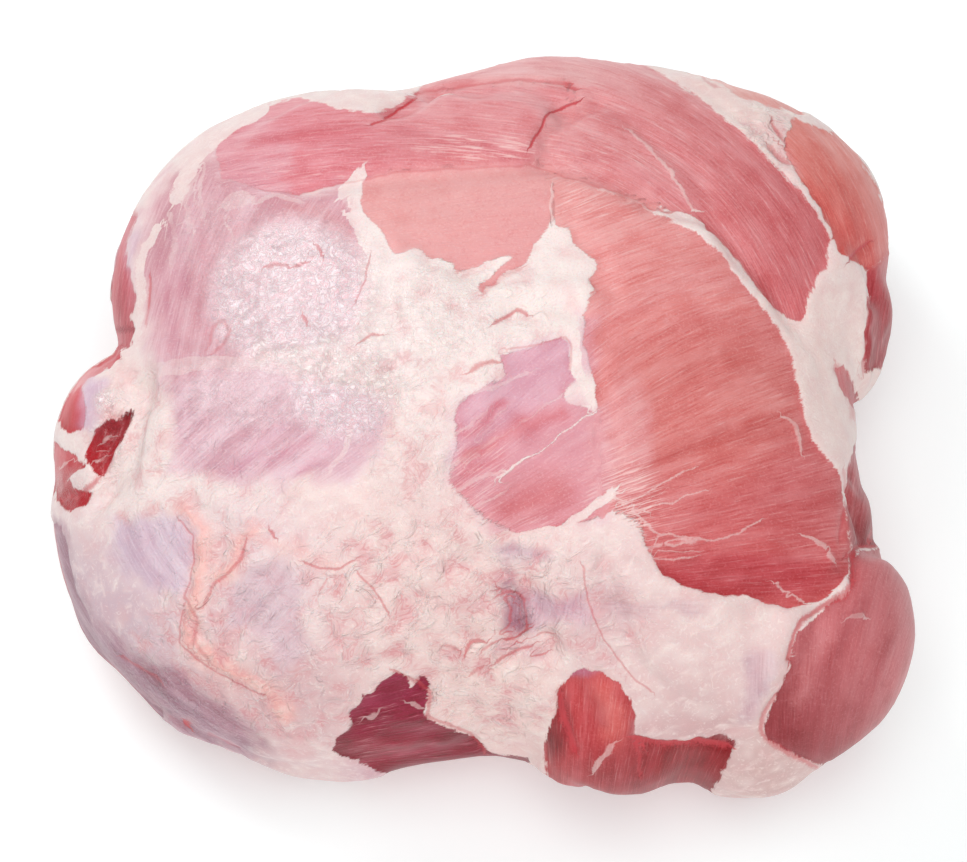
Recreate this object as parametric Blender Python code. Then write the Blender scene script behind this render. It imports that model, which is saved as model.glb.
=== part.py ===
"""Boneless ham: one boned, skinless raw leg of pork, lying flat with its fat side up.

The body is a low dome drawn from one plan outline, with the rounder muscles added as
lobes. Seams, cuts, fat plates and crags are then pushed into the skin of the solid.
+X points to the right of the ham, +Y to its back and +Z up. It rests on z = 0.
"""
import math

import bmesh
import bpy
import numpy as np
from mathutils import Vector, noise

MM = 0.001

# Overall sizes in millimetres
HEIGHT = 128.0
WIDEST_LEVEL = 50.0
BASE_DIP = 4.0
CROWN_FULLNESS = 2.35
FOOT_FULLNESS = 3.4

# Mesh sizes in millimetres
FUSE_GRID = 2.6
SOFTENING_PASSES = 5
MOST_TRIANGLES = 11400

# Plan outline at the widest level: direction in degrees from +X, radius in millimetres
PLAN_OUTLINE = (
    (0, 129), (10, 132), (18, 147), (27, 165), (37, 175), (48, 172), (60, 163), (72, 156),
    (84, 152), (98, 143), (110, 142), (120, 155), (136, 165), (150, 164), (160, 157),
    (168, 147), (176, 151), (184, 163), (200, 171), (215, 167), (230, 157), (245, 143),
    (260, 125), (270, 122), (280, 129), (290, 141), (302, 150), (312, 157), (324, 158),
    (334, 150), (345, 140), (352, 133),
)

# Muscle lobes: centre, radii and turn about Z in degrees
LOBES = {
    "front right knuckle": ((104, -86, 53), (43, 49, 49), -35),
    "front middle muscle": ((40, -103, 46), (37, 37, 43), 4),
    "front right fat end": ((88, -102, 42), (34, 36, 38), 20),
    "left pocket lobe": ((-137, -11, 50), (29, 37, 47), 0),
    "right under muscle": ((114, 46, 48), (34, 33, 43), -8),
}

# Grooves in the upper skin: plan line, depth and half width
GROOVES = {
    "long seam": (
        ((17, 75), (42, 64), (66, 53), (79, 47), (85, 41), (93, 29), (104, 20)), 3.2, 5.0),
    "seam branch": (((77, 55), (71, 68), (61, 84), (45, 100), (36, 105)), 1.6, 4.0),
    "top muscle lower edge": (((-67, 66), (-43, 70), (-5, 74), (17, 76)), 2.2, 5.0),
    "left cut": (((-42, 102), (-33, 108), (-26, 118)), 4.5, 3.5),
    "right cut": (((17, 85), (23, 102), (35, 108)), 4.5, 3.5),
    "back muscle edge": (((-26, 120), (-5, 118), (10, 116), (23, 104)), 2.5, 4.5),
    "fat strip inner edge": (((60, 133), (81, 113), (96, 94), (110, 72), (121, 63)), 2.0, 4.5),
    "right patch outer edge": (((133, 50), (144, 40), (140, 18), (128, -30)), 3.0, 5.0),
    "right side crease": (((126, -44), (131, -56), (146, -60)), 5.0, 4.5),
    "knuckle upper edge": (((128, -62), (118, -82), (108, -92), (105, -104), (96, -124)), 4.0, 4.5),
    "fat plate crease": (((34, -79), (37, -95), (46, -108), (57, -116)), 2.2, 4.0),
    "deep crag": (((4, -84), (10, -91), (15, -99)), 4.5, 4.5),
    "right slit": (((8, -99), (19, -107)), 3.5, 3.5),
    "left slit": (((-13, -103), (-3, -101)), 3.0, 3.5),
    "front maroon hollow": (((-44, -123), (-34, -116), (-22, -114), (-6, -123), (10, -128)), 4.0, 8.0),
    "front muscle crease": (((24, -117), (27, -126), (34, -131)), 4.5, 4.0),
    "pocket mouth": (((-131, -3), (-130, -16), (-134, -30), (-141, -44)), 8.0, 6.0),
    "fat finger slit": (((3, 9), (18, 12), (27, 8)), 2.5, 4.0),
}

# Raised plates: closed plan outline, height and width of the sloping edge
PLATES = {
    "top muscle": (
        ((-92, 100), (-67, 70), (-43, 73), (-5, 77), (15, 80), (20, 98), (-20, 114), (-60, 120)),
        2.6, 6.0),
    "right main muscle": (
        ((24, 70), (56, 56), (80, 40), (110, 8), (124, -32), (122, -70), (100, -86), (62, -78),
         (40, -58), (36, -20), (40, 20), (28, 46)), 2.2, 8.0),
    "centre fat": (
        ((-40, 42), (-16, 22), (26, 22), (38, 18), (38, -10), (4, -6), (-8, -40), (-26, -52),
         (-34, -10), (-36, 22)), 1.8, 5.0),
    "front fat plate": (
        ((36, -80), (60, -86), (84, -91), (108, -94), (104, -108), (88, -124), (58, -116),
         (44, -104)), 3.0, 4.0),
    "left skin sheet": (
        ((-128, 16), (-112, 8), (-108, -30), (-128, -46), (-131, -28), (-124, -16)), 3.0, 4.0),
    "right fat patch": (
        ((101, 20), (112, 8), (116, -9), (120, -24), (130, -32), (138, 16), (134, 42), (124, 56)),
        2.2, 4.0),
}

# Folds between the muscles low on the sides: direction in degrees and level, then depth and width
SIDE_FOLDS = {
    "back right fold": (((62, 88), (70, 60), (76, 34), (80, 14)), 5.0, 7.0),
    "back middle fold": (((100, 78), (108, 52), (112, 28), (110, 10)), 4.0, 8.0),
    "back left fold": (((132, 70), (140, 48), (152, 36), (164, 30)), 4.0, 7.0),
    "left low fold": (((196, 62), (212, 48), (228, 40), (246, 42)), 3.0, 7.0),
    "front fold": (((276, 70), (281, 48), (284, 26), (285, 10)), 4.5, 7.0),
    "right low fold": (((2, 66), (356, 44), (350, 26), (348, 10)), 4.5, 8.0),
}

# How far the drawn lines and outlines wander from their straight pieces
WANDER = 3.5
WANDER_SPACING = 19.0

# Stringy tendon on the front left: plan line, height and half width
TENDON = (((-101, -57), (-85, -67), (-87, -76), (-97, -87), (-100, -97), (-92, -104), (-80, -110)),
          2.2, 4.0)

# Crags of the fat: plan centre, reach, depth and spacing of the lumps
CRAG_FIELDS = (
    ((-20, -90), 62.0, 3.0, 15.0),
    ((2, -8), 52.0, 1.6, 13.0),
    ((-104, -66), 50.0, 1.4, 17.0),
)

MUSCLE_PINK = (0.62, 0.26, 0.25)


def plan_radius(angles):
    """Radius of the plan outline for directions in radians, smooth between the stations."""
    stations = np.radians([station[0] for station in PLAN_OUTLINE])
    radii = np.array([station[1] for station in PLAN_OUTLINE], dtype=float)
    spacing = np.diff(np.append(stations, stations[0] + 2 * math.pi))
    around = np.mod(angles, 2 * math.pi)
    index = np.searchsorted(stations, around, side="right") - 1
    following = (index + 1) % len(stations)
    steps = (np.roll(radii, -1) - radii) / spacing
    before = np.roll(steps, 1)
    slopes = 0.5 * (steps + before)
    share = (around - stations[index]) / spacing[index]
    start = (1 + 2 * share) * (1 - share) ** 2 * radii[index]
    start += share * (1 - share) ** 2 * spacing[index] * slopes[index]
    end = share ** 2 * (3 - 2 * share) * radii[following]
    end += share ** 2 * (share - 1) * spacing[index] * slopes[following]
    return start + end


def points_of(mesh):
    """Vertex positions of a mesh in millimetres."""
    flat = np.empty(len(mesh.vertices) * 3)
    mesh.vertices.foreach_get("co", flat)
    return flat.reshape(-1, 3) / MM


def put_points(mesh, points):
    """Move the vertices of a mesh to positions given in millimetres."""
    mesh.vertices.foreach_set("co", (points * MM).ravel())
    mesh.update()


def new_ball(name, fineness):
    """A round ball of radius one, to be drawn out into a lobe."""
    shape = bmesh.new()
    bmesh.ops.create_icosphere(shape, subdivisions=fineness, radius=1.0)
    mesh = bpy.data.meshes.new(name)
    shape.to_mesh(mesh)
    shape.free()
    return mesh


def dome_mesh():
    """The low dome of the whole leg, fuller towards the foot than towards the crown."""
    mesh = new_ball("dome", 6)
    ways = points_of(mesh) * MM
    across = np.hypot(ways[:, 0], ways[:, 1])
    upward = ways[:, 2] >= 0
    reach = plan_radius(np.arctan2(ways[:, 1], ways[:, 0]))
    rise = np.where(upward, HEIGHT - WIDEST_LEVEL, WIDEST_LEVEL + BASE_DIP)
    fullness = np.where(upward, CROWN_FULLNESS, FOOT_FULLNESS)
    total = (across / reach) ** fullness + (np.abs(ways[:, 2]) / rise) ** fullness
    points = ways * (total ** (-1 / fullness))[:, None]
    points[:, 2] += WIDEST_LEVEL
    put_points(mesh, points)
    return mesh


def lobe_mesh(name, centre, radii, turn):
    """One rounded muscle, an ellipsoid turned about the upright axis."""
    mesh = new_ball(name, 5)
    points = points_of(mesh) * MM * np.array(radii, dtype=float)
    cos_turn = math.cos(math.radians(turn))
    sin_turn = math.sin(math.radians(turn))
    turned = points.copy()
    turned[:, 0] = points[:, 0] * cos_turn - points[:, 1] * sin_turn
    turned[:, 1] = points[:, 0] * sin_turn + points[:, 1] * cos_turn
    put_points(mesh, turned + np.array(centre, dtype=float))
    return mesh


def fused(meshes):
    """All lobes grown together into one skin and softened."""
    together = bmesh.new()
    for mesh in meshes:
        together.from_mesh(mesh)
    mesh = bpy.data.meshes.new("lobes")
    together.to_mesh(mesh)
    together.free()
    body = bpy.data.objects.new("lobes", mesh)
    bpy.context.scene.collection.objects.link(body)
    fuse = body.modifiers.new("fuse", "REMESH")
    fuse.mode = "VOXEL"
    fuse.voxel_size = FUSE_GRID * MM
    soften = body.modifiers.new("soften", "SMOOTH")
    soften.factor = 0.5
    soften.iterations = SOFTENING_PASSES
    skin = evaluated(body)
    bpy.data.objects.remove(body)
    return skin


def evaluated(body):
    """The mesh of an object after its modifiers."""
    graph = bpy.context.evaluated_depsgraph_get()
    return bpy.data.meshes.new_from_object(body.evaluated_get(graph))


def line_distance(plan, line, closed=False):
    """Distance in plan from every point to a line of straight pieces."""
    corners = [np.array(corner, dtype=float) for corner in line]
    if closed:
        corners.append(corners[0])
    nearest = np.full(len(plan), 1e9)
    for start, end in zip(corners, corners[1:]):
        along = end - start
        share = np.clip((plan - start) @ along / (along @ along), 0, 1)
        gap = plan - start - share[:, None] * along
        nearest = np.minimum(nearest, np.hypot(gap[:, 0], gap[:, 1]))
    return nearest


def inside_depth(plan, outline):
    """Distance to a closed outline, positive inside it."""
    inside = np.zeros(len(plan), dtype=bool)
    for start, end in zip(outline, outline[1:] + outline[:1]):
        crosses = (start[1] > plan[:, 1]) != (end[1] > plan[:, 1])
        rise = (end[1] - start[1]) or 1e-9
        meeting = start[0] + (plan[:, 1] - start[1]) * (end[0] - start[0]) / rise
        inside ^= crosses & (plan[:, 0] < meeting)
    gap = line_distance(plan, outline, closed=True)
    return np.where(inside, gap, -gap)


def eased(low, high, values):
    """Smooth rise from 0 to 1 between two values."""
    share = np.clip((values - low) / (high - low), 0, 1)
    return share * share * (3 - 2 * share)


def lumps(points, spacing):
    """Soft lumps between -1 and 1, the same on every run."""
    return np.array([
        noise.noise(Vector(point) / spacing) + 0.45 * noise.noise(Vector(point) / spacing * 2.1)
        for point in points
    ])


def wandered(points):
    """Plan positions shifted a little, so that no seam or edge runs straight."""
    aside = np.array([50.0, -30.0, 10.0])
    shift_x = lumps(points, WANDER_SPACING)
    shift_y = lumps(points + aside, WANDER_SPACING)
    return points[:, :2] + WANDER * np.stack([shift_x, shift_y], axis=1)


def side_folds(points):
    """Depth of the folds between the muscles on the sides, by direction and level."""
    typical_radius = 150.0
    direction = np.mod(np.degrees(np.arctan2(points[:, 1], points[:, 0])), 360)
    depth = np.zeros(len(points))
    for line, deepest, half_width in SIDE_FOLDS.values():
        middle = line[1][0]
        turned = np.mod(direction - middle + 180, 360) - 180
        unrolled = np.stack([np.radians(turned) * typical_radius, points[:, 2]], axis=1)
        unrolled_line = [
            (math.radians((angle - middle + 180) % 360 - 180) * typical_radius, level)
            for angle, level in line
        ]
        gap = line_distance(unrolled, unrolled_line)
        depth += deepest * np.exp(-(gap / half_width) ** 2)
    return depth


def push_relief(mesh):
    """Seams, cuts, plates and crags, pushed along the normals of the upper skin."""
    points = points_of(mesh)
    normals = np.empty(len(mesh.vertices) * 3)
    mesh.vertex_normals.foreach_get("vector", normals)
    normals = normals.reshape(-1, 3)
    plan = wandered(points)
    upper = eased(28, 48, points[:, 2]) * eased(-0.35, 0.1, normals[:, 2])
    push = np.zeros(len(points))
    for outline, height, edge in PLATES.values():
        push += height * eased(-edge / 2, edge / 2, inside_depth(plan, outline))
    for line, depth, half_width in GROOVES.values():
        push -= depth * np.exp(-(line_distance(plan, line) / half_width) ** 2)
    tendon_line, tendon_height, tendon_width = TENDON
    push += tendon_height * np.exp(-(line_distance(plan, tendon_line) / tendon_width) ** 2)
    for centre, reach, depth, spacing in CRAG_FIELDS:
        away = np.hypot(plan[:, 0] - centre[0], plan[:, 1] - centre[1])
        push += depth * lumps(points, spacing) * eased(reach, reach * 0.5, away)
    flank = eased(4, 24, points[:, 2]) * (1 - upper)
    side = 2.6 * lumps(points, 34.0) - side_folds(points)
    points += normals * (push * upper + side * flank)[:, None]
    put_points(mesh, points)


def cut_flat(mesh):
    """Cut the underside away on one level plane and close it with one flat face."""
    shape = bmesh.new()
    shape.from_mesh(mesh)
    everything = shape.verts[:] + shape.edges[:] + shape.faces[:]
    bmesh.ops.bisect_plane(
        shape, geom=everything, dist=0.00002, plane_co=(0, 0, 0), plane_no=(0, 0, 1),
        clear_inner=True)
    rim = [edge for edge in shape.edges if edge.is_boundary]
    bmesh.ops.holes_fill(shape, edges=rim, sides=0)
    bmesh.ops.recalc_face_normals(shape, faces=shape.faces[:])
    shape.to_mesh(mesh)
    shape.free()
    mesh.update()


def thinned(mesh):
    """The same skin with fewer, larger triangles."""
    body = bpy.data.objects.new("fine skin", mesh)
    bpy.context.scene.collection.objects.link(body)
    thin = body.modifiers.new("thin", "DECIMATE")
    mesh.calc_loop_triangles()
    thin.ratio = MOST_TRIANGLES / len(mesh.loop_triangles)
    skin = evaluated(body)
    bpy.data.objects.remove(body)
    return skin


def centred(mesh):
    """Centre the box of the solid over the origin."""
    points = points_of(mesh)
    middle = (points.min(axis=0) + points.max(axis=0)) / 2
    points[:, :2] -= middle[:2]
    put_points(mesh, points)


def pork_material():
    """Moist pink meat."""
    material = bpy.data.materials.new("raw pork")
    material.use_nodes = True
    surface = material.node_tree.nodes["Principled BSDF"]
    surface.inputs["Base Color"].default_value = (*MUSCLE_PINK, 1.0)
    surface.inputs["Roughness"].default_value = 0.38
    surface.inputs["Metallic"].default_value = 0.0
    return material


def build():
    """Make the ham and leave it alone in the scene."""
    for item in list(bpy.data.objects):
        bpy.data.objects.remove(item)
    lobes = [dome_mesh()]
    for name, (centre, radii, turn) in LOBES.items():
        lobes.append(lobe_mesh(name, centre, radii, turn))
    skin = fused(lobes)
    push_relief(skin)
    skin = thinned(skin)
    cut_flat(skin)
    centred(skin)
    skin.name = "ham"
    skin.materials.clear()
    skin.materials.append(pork_material())
    for face in skin.polygons:
        face.use_smooth = len(face.vertices) == 3
    ham = bpy.data.objects.new("ham", skin)
    bpy.context.scene.collection.objects.link(ham)


build()
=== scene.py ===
"""Raw boneless ham: the finished skin of one boned leg of pork, with the light and camera.

The picture is 967 by 862. Every mark on the upper skin is drawn in picture pixels, as seen
from the eye, and carried onto the skin in millimetres, so it stays with the meat from all
sides. What the eye can't see is finished from the form alone.
"""
import math

import bmesh
import bpy
import numpy as np
from mathutils import Matrix, Vector, noise


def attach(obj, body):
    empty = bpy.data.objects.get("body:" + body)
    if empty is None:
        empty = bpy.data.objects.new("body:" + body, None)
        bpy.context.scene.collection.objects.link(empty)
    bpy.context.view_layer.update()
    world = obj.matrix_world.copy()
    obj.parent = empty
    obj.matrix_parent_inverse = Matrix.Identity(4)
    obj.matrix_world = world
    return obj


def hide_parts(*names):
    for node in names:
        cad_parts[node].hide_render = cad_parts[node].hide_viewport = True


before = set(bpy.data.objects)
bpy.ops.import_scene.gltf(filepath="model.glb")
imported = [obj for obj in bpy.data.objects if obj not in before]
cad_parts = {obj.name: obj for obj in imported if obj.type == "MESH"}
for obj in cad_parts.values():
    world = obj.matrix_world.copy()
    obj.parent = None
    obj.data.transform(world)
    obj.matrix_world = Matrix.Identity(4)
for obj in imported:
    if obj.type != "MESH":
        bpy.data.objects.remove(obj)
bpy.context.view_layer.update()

MM = 0.001

# The eye: tilt above the floor, distance, what it looks at and how wide it sees
PICTURE_WIDTH = 967
PICTURE_HEIGHT = 862
EYE_TILT = math.radians(65)
EYE_DISTANCE = 1.4
LOOKS_AT = Vector((0.0015, 0.0, 0.0388))
VIEW_WIDTH = 0.3632
PIXEL = VIEW_WIDTH / PICTURE_WIDTH * 1000
TO_EYE = Vector((0, -math.cos(EYE_TILT), math.sin(EYE_TILT)))
PICTURE_UP = Vector((0, math.sin(EYE_TILT), math.cos(EYE_TILT)))
PICTURE_RIGHT = Vector((1, 0, 0))

# Fineness of the skin, in metres
SKIN_GRID = 0.00175

# Farther than anything in the picture, in pixels
FAR_OFF = 1e9

# Fibres run out from a point in a fan, or circle it in rings
FAN = "fan"
RING = "ring"

# Bare muscles in the picture: outline, pale end and its colour, deep end and its colour,
# and the run of the fibres
MUSCLES = {
    "top muscle": dict(
        outline=((215, 150), (240, 112), (300, 98), (371, 116), (395, 106), (415, 93), (470, 84),
                 (520, 78), (572, 80), (577, 98), (548, 120), (534, 166), (470, 171), (400, 175),
                 (366, 178), (345, 184), (300, 194), (262, 190), (222, 178)),
        pale=((330, 165), (221, 136, 145)), deep=((430, 105), (222, 145, 149)),
        grain=(RING, (400, 950))),
    "back muscle": dict(
        outline=((415, 93), (430, 78), (475, 56), (540, 50), (640, 62), (690, 92), (745, 137),
                 (790, 184), (816, 214), (829, 240), (826, 262), (812, 290), (802, 322),
                 (786, 318), (766, 302), (742, 268), (722, 244), (700, 222), (668, 210),
                 (600, 189), (536, 168),
                 (540, 128), (544, 116), (571, 96), (560, 82)),
        pale=((520, 75), (228, 160, 162)), deep=((780, 280), (205, 108, 112)),
        grain=(RING, (510, 400))),
    "rose oval": dict(
        outline=((360, 200), (364, 176), (400, 168), (470, 164), (545, 166), (553, 200), (549, 228),
                 (534, 244), (528, 262), (505, 274), (482, 292), (478, 288), (498, 270), (512, 259),
                 (510, 255), (480, 264), (455, 273), (455, 262), (432, 259), (416, 249), (394, 253),
                 (388, 242), (378, 227), (363, 214)),
        pale=((450, 200), (227, 164, 163)), deep=((480, 255), (226, 158, 158)),
        grain=(FAN, (-200, 330))),
    "right main muscle": dict(
        outline=((545, 164), (600, 184), (640, 200), (690, 225), (719, 247), (739, 272),
                 (763, 308), (782, 336), (793, 365), (799, 400), (812, 440), (838, 475), (845, 510),
                 (850, 550), (848, 577), (824, 600), (786, 611), (762, 603), (744, 594),
                 (722, 598), (690, 590), (662, 577), (648, 548), (634, 520), (612, 510),
                 (600, 520), (585, 470), (585, 425), (598, 406), (594, 380), (584, 345),
                 (584, 313), (594, 292), (587, 280), (597, 270), (596, 261), (573, 243), (570, 228),
                 (556, 224)),
        pale=((560, 200), (229, 160, 158)), deep=((760, 540), (204, 96, 98)),
        grain=(FAN, (250, 620))),
    "window muscle": dict(
        outline=((497, 353), (524, 349), (547, 345), (560, 339), (570, 347), (571, 362), (575, 378),
                 (562, 396), (578, 404), (600, 410), (612, 450), (610, 510), (590, 518),
                 (560, 528), (512, 537), (484, 522), (466, 506), (452, 480), (455, 430), (462, 406),
                 (474, 389), (505, 375)),
        pale=((500, 380), (216, 152, 166)), deep=((540, 500), (212, 118, 126)),
        grain=(FAN, (100, 740))),
    "back far muscle": dict(
        outline=((672, 60), (700, 58), (745, 68), (790, 90), (812, 112), (798, 116), (772, 107),
                 (748, 101), (730, 94), (722, 84), (704, 80), (690, 74)),
        pale=((700, 70), (230, 168, 160)), deep=((785, 100), (220, 136, 128)),
        grain=(RING, (510, 400))),
    "right edge muscle": dict(
        outline=((792, 118), (850, 140), (900, 235), (890, 252), (868, 270), (838, 254),
                 (824, 218), (800, 182), (783, 150)),
        pale=((860, 160), (220, 130, 122)), deep=((845, 235), (210, 94, 88)),
        grain=(RING, (640, 300))),
    "right under muscle": dict(
        outline=((868, 272), (890, 250), (900, 214), (912, 260), (905, 310), (885, 365),
                 (864, 372), (869, 300)),
        pale=((880, 250), (192, 78, 84)), deep=((880, 330), (164, 46, 54)),
        grain=(FAN, (830, 700))),
    "patch sliver": dict(
        outline=((834, 368), (843, 366), (853, 384), (858, 400), (857, 414), (847, 402), (838, 386)),
        pale=((840, 370), (206, 120, 122)), deep=((852, 400), (186, 84, 90)),
        grain=(FAN, (800, 200))),
    "right flank": dict(
        outline=((846, 470), (860, 425), (880, 440), (905, 540), (890, 546), (862, 546),
                 (852, 556), (846, 520)),
        pale=((870, 470), (170, 70, 76)), deep=((872, 530), (154, 50, 56)),
        grain=(FAN, (800, 900))),
    "knuckle": dict(
        outline=((853, 555), (890, 545), (912, 560), (930, 620), (920, 680), (890, 730),
                 (860, 760), (835, 768), (800, 758), (768, 742), (763, 725), (776, 696),
                 (789, 668), (797, 633), (825, 609), (850, 590)),
        pale=((850, 650), (194, 106, 110)), deep=((790, 730), (150, 52, 58)),
        grain=(FAN, (780, 1000))),
    "front middle muscle": dict(
        outline=((557, 690), (580, 667), (600, 672), (618, 682), (630, 700), (636, 715),
                 (634, 735), (680, 742), (720, 733), (736, 740), (730, 756), (712, 790),
                 (700, 810), (590, 810), (548, 780), (545, 745), (555, 715)),
        # The deep end of the front middle muscle is partly painted shade in the recessed front
        # strip.
        pale=((600, 685), (202, 74, 78)), deep=((680, 775), (140, 34, 42)),
        grain=(FAN, (560, 1100))),
    "front left muscle": dict(
        outline=((396, 672), (407, 678), (409, 690), (418, 684), (420, 674), (432, 682), (428, 693),
                 (423, 715), (442, 727), (462, 732), (476, 738), (485, 751), (530, 757),
                 (528, 782), (470, 772), (436, 776), (412, 774), (392, 775), (374, 769),
                 (358, 760), (344, 757), (333, 749), (340, 734), (352, 722), (348, 714), (360, 702),
                 (362, 694), (374, 690), (380, 682)),
        pale=((400, 690), (142, 16, 52)), deep=((400, 745), (130, 4, 32)),
        grain=(FAN, (-100, 820))),
    "left rim": dict(
        outline=((96, 250), (120, 216), (140, 216), (136, 226), (127, 242), (128, 258),
                 (131, 274), (136, 290), (137, 302), (133, 316), (136, 330), (130, 348),
                 (108, 352), (88, 300)),
        pale=((120, 250), (204, 92, 106)), deep=((116, 320), (184, 56, 70)),
        grain=(RING, (420, 330))),
    "pocket corner": dict(
        outline=((68, 384), (78, 368), (92, 356), (106, 348), (122, 342), (123, 363), (112, 368),
                 (100, 373), (90, 379), (80, 388), (74, 392)),
        pale=((80, 382), (226, 150, 152)), deep=((118, 358), (196, 58, 72)),
        grain=(FAN, (60, 900))),
    "pocket patch": dict(
        outline=((82, 386), (73, 392), (62, 404), (58, 416), (62, 428), (74, 435), (83, 430),
                 (87, 416), (85, 400)),
        pale=((70, 396), (208, 52, 64)), deep=((70, 430), (184, 14, 28)),
        grain=(FAN, (70, 900))),
    "pocket cavity": dict(
        outline=((112, 418), (124, 416), (135, 412), (128, 428), (120, 442), (112, 458), (103, 479),
                 (95, 472), (85, 458), (90, 444), (99, 429)),
        pale=((96, 452), (180, 16, 32)), deep=((122, 420), (112, 4, 16)),
        grain=(FAN, (220, 200))),
    "pocket low meat": dict(
        outline=((54, 440), (64, 448), (76, 453), (86, 468), (73, 473), (68, 480), (80, 491),
                 (95, 493), (87, 506), (69, 512), (58, 500), (52, 480), (50, 458)),
        pale=((60, 450), (208, 88, 94)), deep=((72, 492), (172, 14, 28)),
        grain=(FAN, (60, 900))),
    "pocket lower meat": dict(
        outline=((40, 520), (62, 525), (78, 590), (103, 650), (132, 682), (165, 712), (150, 730),
                 (60, 640)),
        pale=((70, 540), (164, 98, 118)), deep=((130, 690), (140, 72, 94)),
        grain=(RING, (420, 400))),
}

# Muscles whose fibres show less, and by how much
CALM_MUSCLES = {"rose oval": 0.65, "knuckle": 0.4, "window muscle": 0.4, "pocket patch": 0.7,
                "pocket cavity": 0.7, "pocket low meat": 0.7, "pocket corner": 0.7}

# Muscles at the rim of the view, which end where the eye stops seeing them
EDGE_MUSCLES = ("left rim", "pocket corner", "pocket patch", "pocket cavity",
                "pocket low meat", "pocket lower meat")

# Muscles that lie nearly level with the fat around them
FLUSH_MUSCLES = ("window muscle", "rose oval", "top muscle")

# Thin silvery membrane in the picture, and lilac painted shade laid the same way: outline, colour,
# thickness and run of its streaks
VEILS = {
    "left shoulder": dict(
        outline=((146, 210), (172, 172), (215, 150), (262, 158), (300, 191), (345, 188),
                 (364, 230), (372, 262), (352, 330), (330, 345), (262, 352), (240, 385),
                 (170, 392), (150, 350), (140, 300), (138, 250)),
        colour=(212, 154, 166), thickness=0.88, grain=(RING, (640, 420))),
    "shoulder end of the top muscle": dict(
        outline=((196, 160), (222, 128), (262, 112), (300, 150), (290, 190), (230, 186)),
        colour=(224, 172, 182), thickness=0.6, grain=(RING, (400, 950))),
    "middle left": dict(
        outline=((160, 350), (210, 350), (300, 372), (352, 384), (384, 398), (382, 446),
                 (352, 486), (300, 478), (250, 490), (172, 470), (166, 400)),
        colour=(214, 172, 184), thickness=0.9, grain=(FAN, (-300, 900))),
    "middle window": dict(
        outline=((500, 352), (524, 347), (547, 343), (560, 338), (572, 345), (573, 362), (577, 378),
                 (562, 396), (530, 424), (500, 440), (475, 455), (450, 470), (450, 430), (460, 404),
                 (474, 387), (505, 373)),
        colour=(219, 178, 193), thickness=0.75, grain=(FAN, (100, 740))),
    "window low film": dict(
        outline=((566, 395), (604, 404), (616, 460), (604, 520), (560, 532), (500, 540),
                 (470, 512), (450, 470), (500, 440)),
        colour=(224, 176, 186), thickness=0.6, grain=(FAN, (100, 740))),
    "window side": dict(
        outline=((584, 314), (597, 318), (596, 372), (590, 380), (578, 360)),
        colour=(216, 160, 176), thickness=0.6, grain=(FAN, (560, 900))),
    # Partly membrane, partly painted shade in the hollow of the crag.
    "crag": dict(
        outline=((500, 590), (530, 592), (585, 598), (590, 618), (545, 622), (530, 634),
                 (508, 630), (504, 606)),
        colour=(204, 164, 180), thickness=0.65, grain=(FAN, (500, 900))),
    "above the crag": dict(
        outline=((496, 546), (545, 548), (540, 562), (505, 564)),
        colour=(206, 170, 184), thickness=0.6, grain=(FAN, (0, 560))),
    "pocket tongue": dict(
        outline=((82, 380), (100, 380), (96, 404), (94, 426), (84, 424)),
        colour=(204, 170, 194), thickness=0.8, grain=(FAN, (90, 900))),
    "rim lilac": dict(
        outline=((128, 230), (141, 226), (138, 248), (134, 268), (128, 266), (127, 246)),
        colour=(206, 166, 184), thickness=0.8, grain=(RING, (420, 330))),
    "lower left": dict(
        outline=((112, 518), (150, 512), (204, 520), (199, 560), (184, 588), (150, 594),
                 (122, 572), (108, 542)),
        colour=(208, 184, 200), thickness=0.8, grain=(RING, (330, 450))),
    "lower middle": dict(
        outline=((222, 590), (250, 566), (288, 564), (306, 585), (300, 625), (306, 660),
                 (280, 672), (262, 640), (232, 625)),
        colour=(210, 180, 190), thickness=0.65, grain=(FAN, (100, 800))),
    # Painted shade on the low left side, which turns from the light, laid as a dark lilac veil.
    "low edge": dict(
        outline=((58, 520), (66, 520), (69, 556), (79, 592), (99, 624), (128, 646), (160, 664),
                 (198, 684), (238, 712), (270, 744), (240, 762), (205, 744), (167, 720),
                 (130, 690), (95, 650), (72, 608), (58, 560)),
        colour=(174, 122, 138), thickness=0.88, grain=(RING, (420, 400))),
    # Painted shade in the fold below the plate, laid as a lilac veil.
    "plate fold": dict(
        outline=((592, 596), (648, 600), (704, 606), (690, 617), (640, 614), (600, 614)),
        colour=(204, 168, 174), thickness=0.75, grain=(FAN, (0, 600))),
    "plate side": dict(
        outline=((752, 655), (776, 662), (768, 700), (748, 715), (735, 690)),
        colour=(206, 172, 178), thickness=0.7, grain=(FAN, (760, 1000))),
}

# White fat lines and fingers that lie over the muscles, and painted highlights drawn as white lines:
# line and half width in pixels
FAT_LINES = {
    "long seam": (((655, 213), (672, 220), (690, 227), (705, 238), (722, 252), (745, 284),
                   (766, 307), (784, 328)), 2.6),
    "seam blob": (((674, 217), (690, 220), (700, 227)), 4.5),
    # The window glints are painted highlights.
    "window long glint": (((500, 479), (512, 468), (530, 456)), 1.2),
    "window glint tail": (((530, 456), (548, 446), (572, 427), (596, 410)), 0.6),
    "window low band": (((498, 537), (530, 535), (560, 529), (585, 514), (612, 492)), 4.5),
    "knuckle fleck": (((786, 666), (779, 676), (773, 688)), 4.5),
    "oval left edge": (((360, 174), (352, 186), (344, 193)), 6.5),
    "oval left neck": (((352, 186), (358, 204), (358, 218)), 3.0),
    "oval left dot": (((356, 218), (358, 219)), 9.0),
    "oval left fat": (((366, 232), (374, 246), (380, 256)), 11.0),
    "finger to the window": (((576, 335), (576, 372), (586, 384), (590, 398)), 5.0),
    "shoulder strip": (((262, 108), (228, 128), (198, 155), (176, 200)), 7.0),
    "left rim streak": (((158, 228), (147, 248), (141, 270), (142, 302), (140, 336)), 4.0),
}
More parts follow.
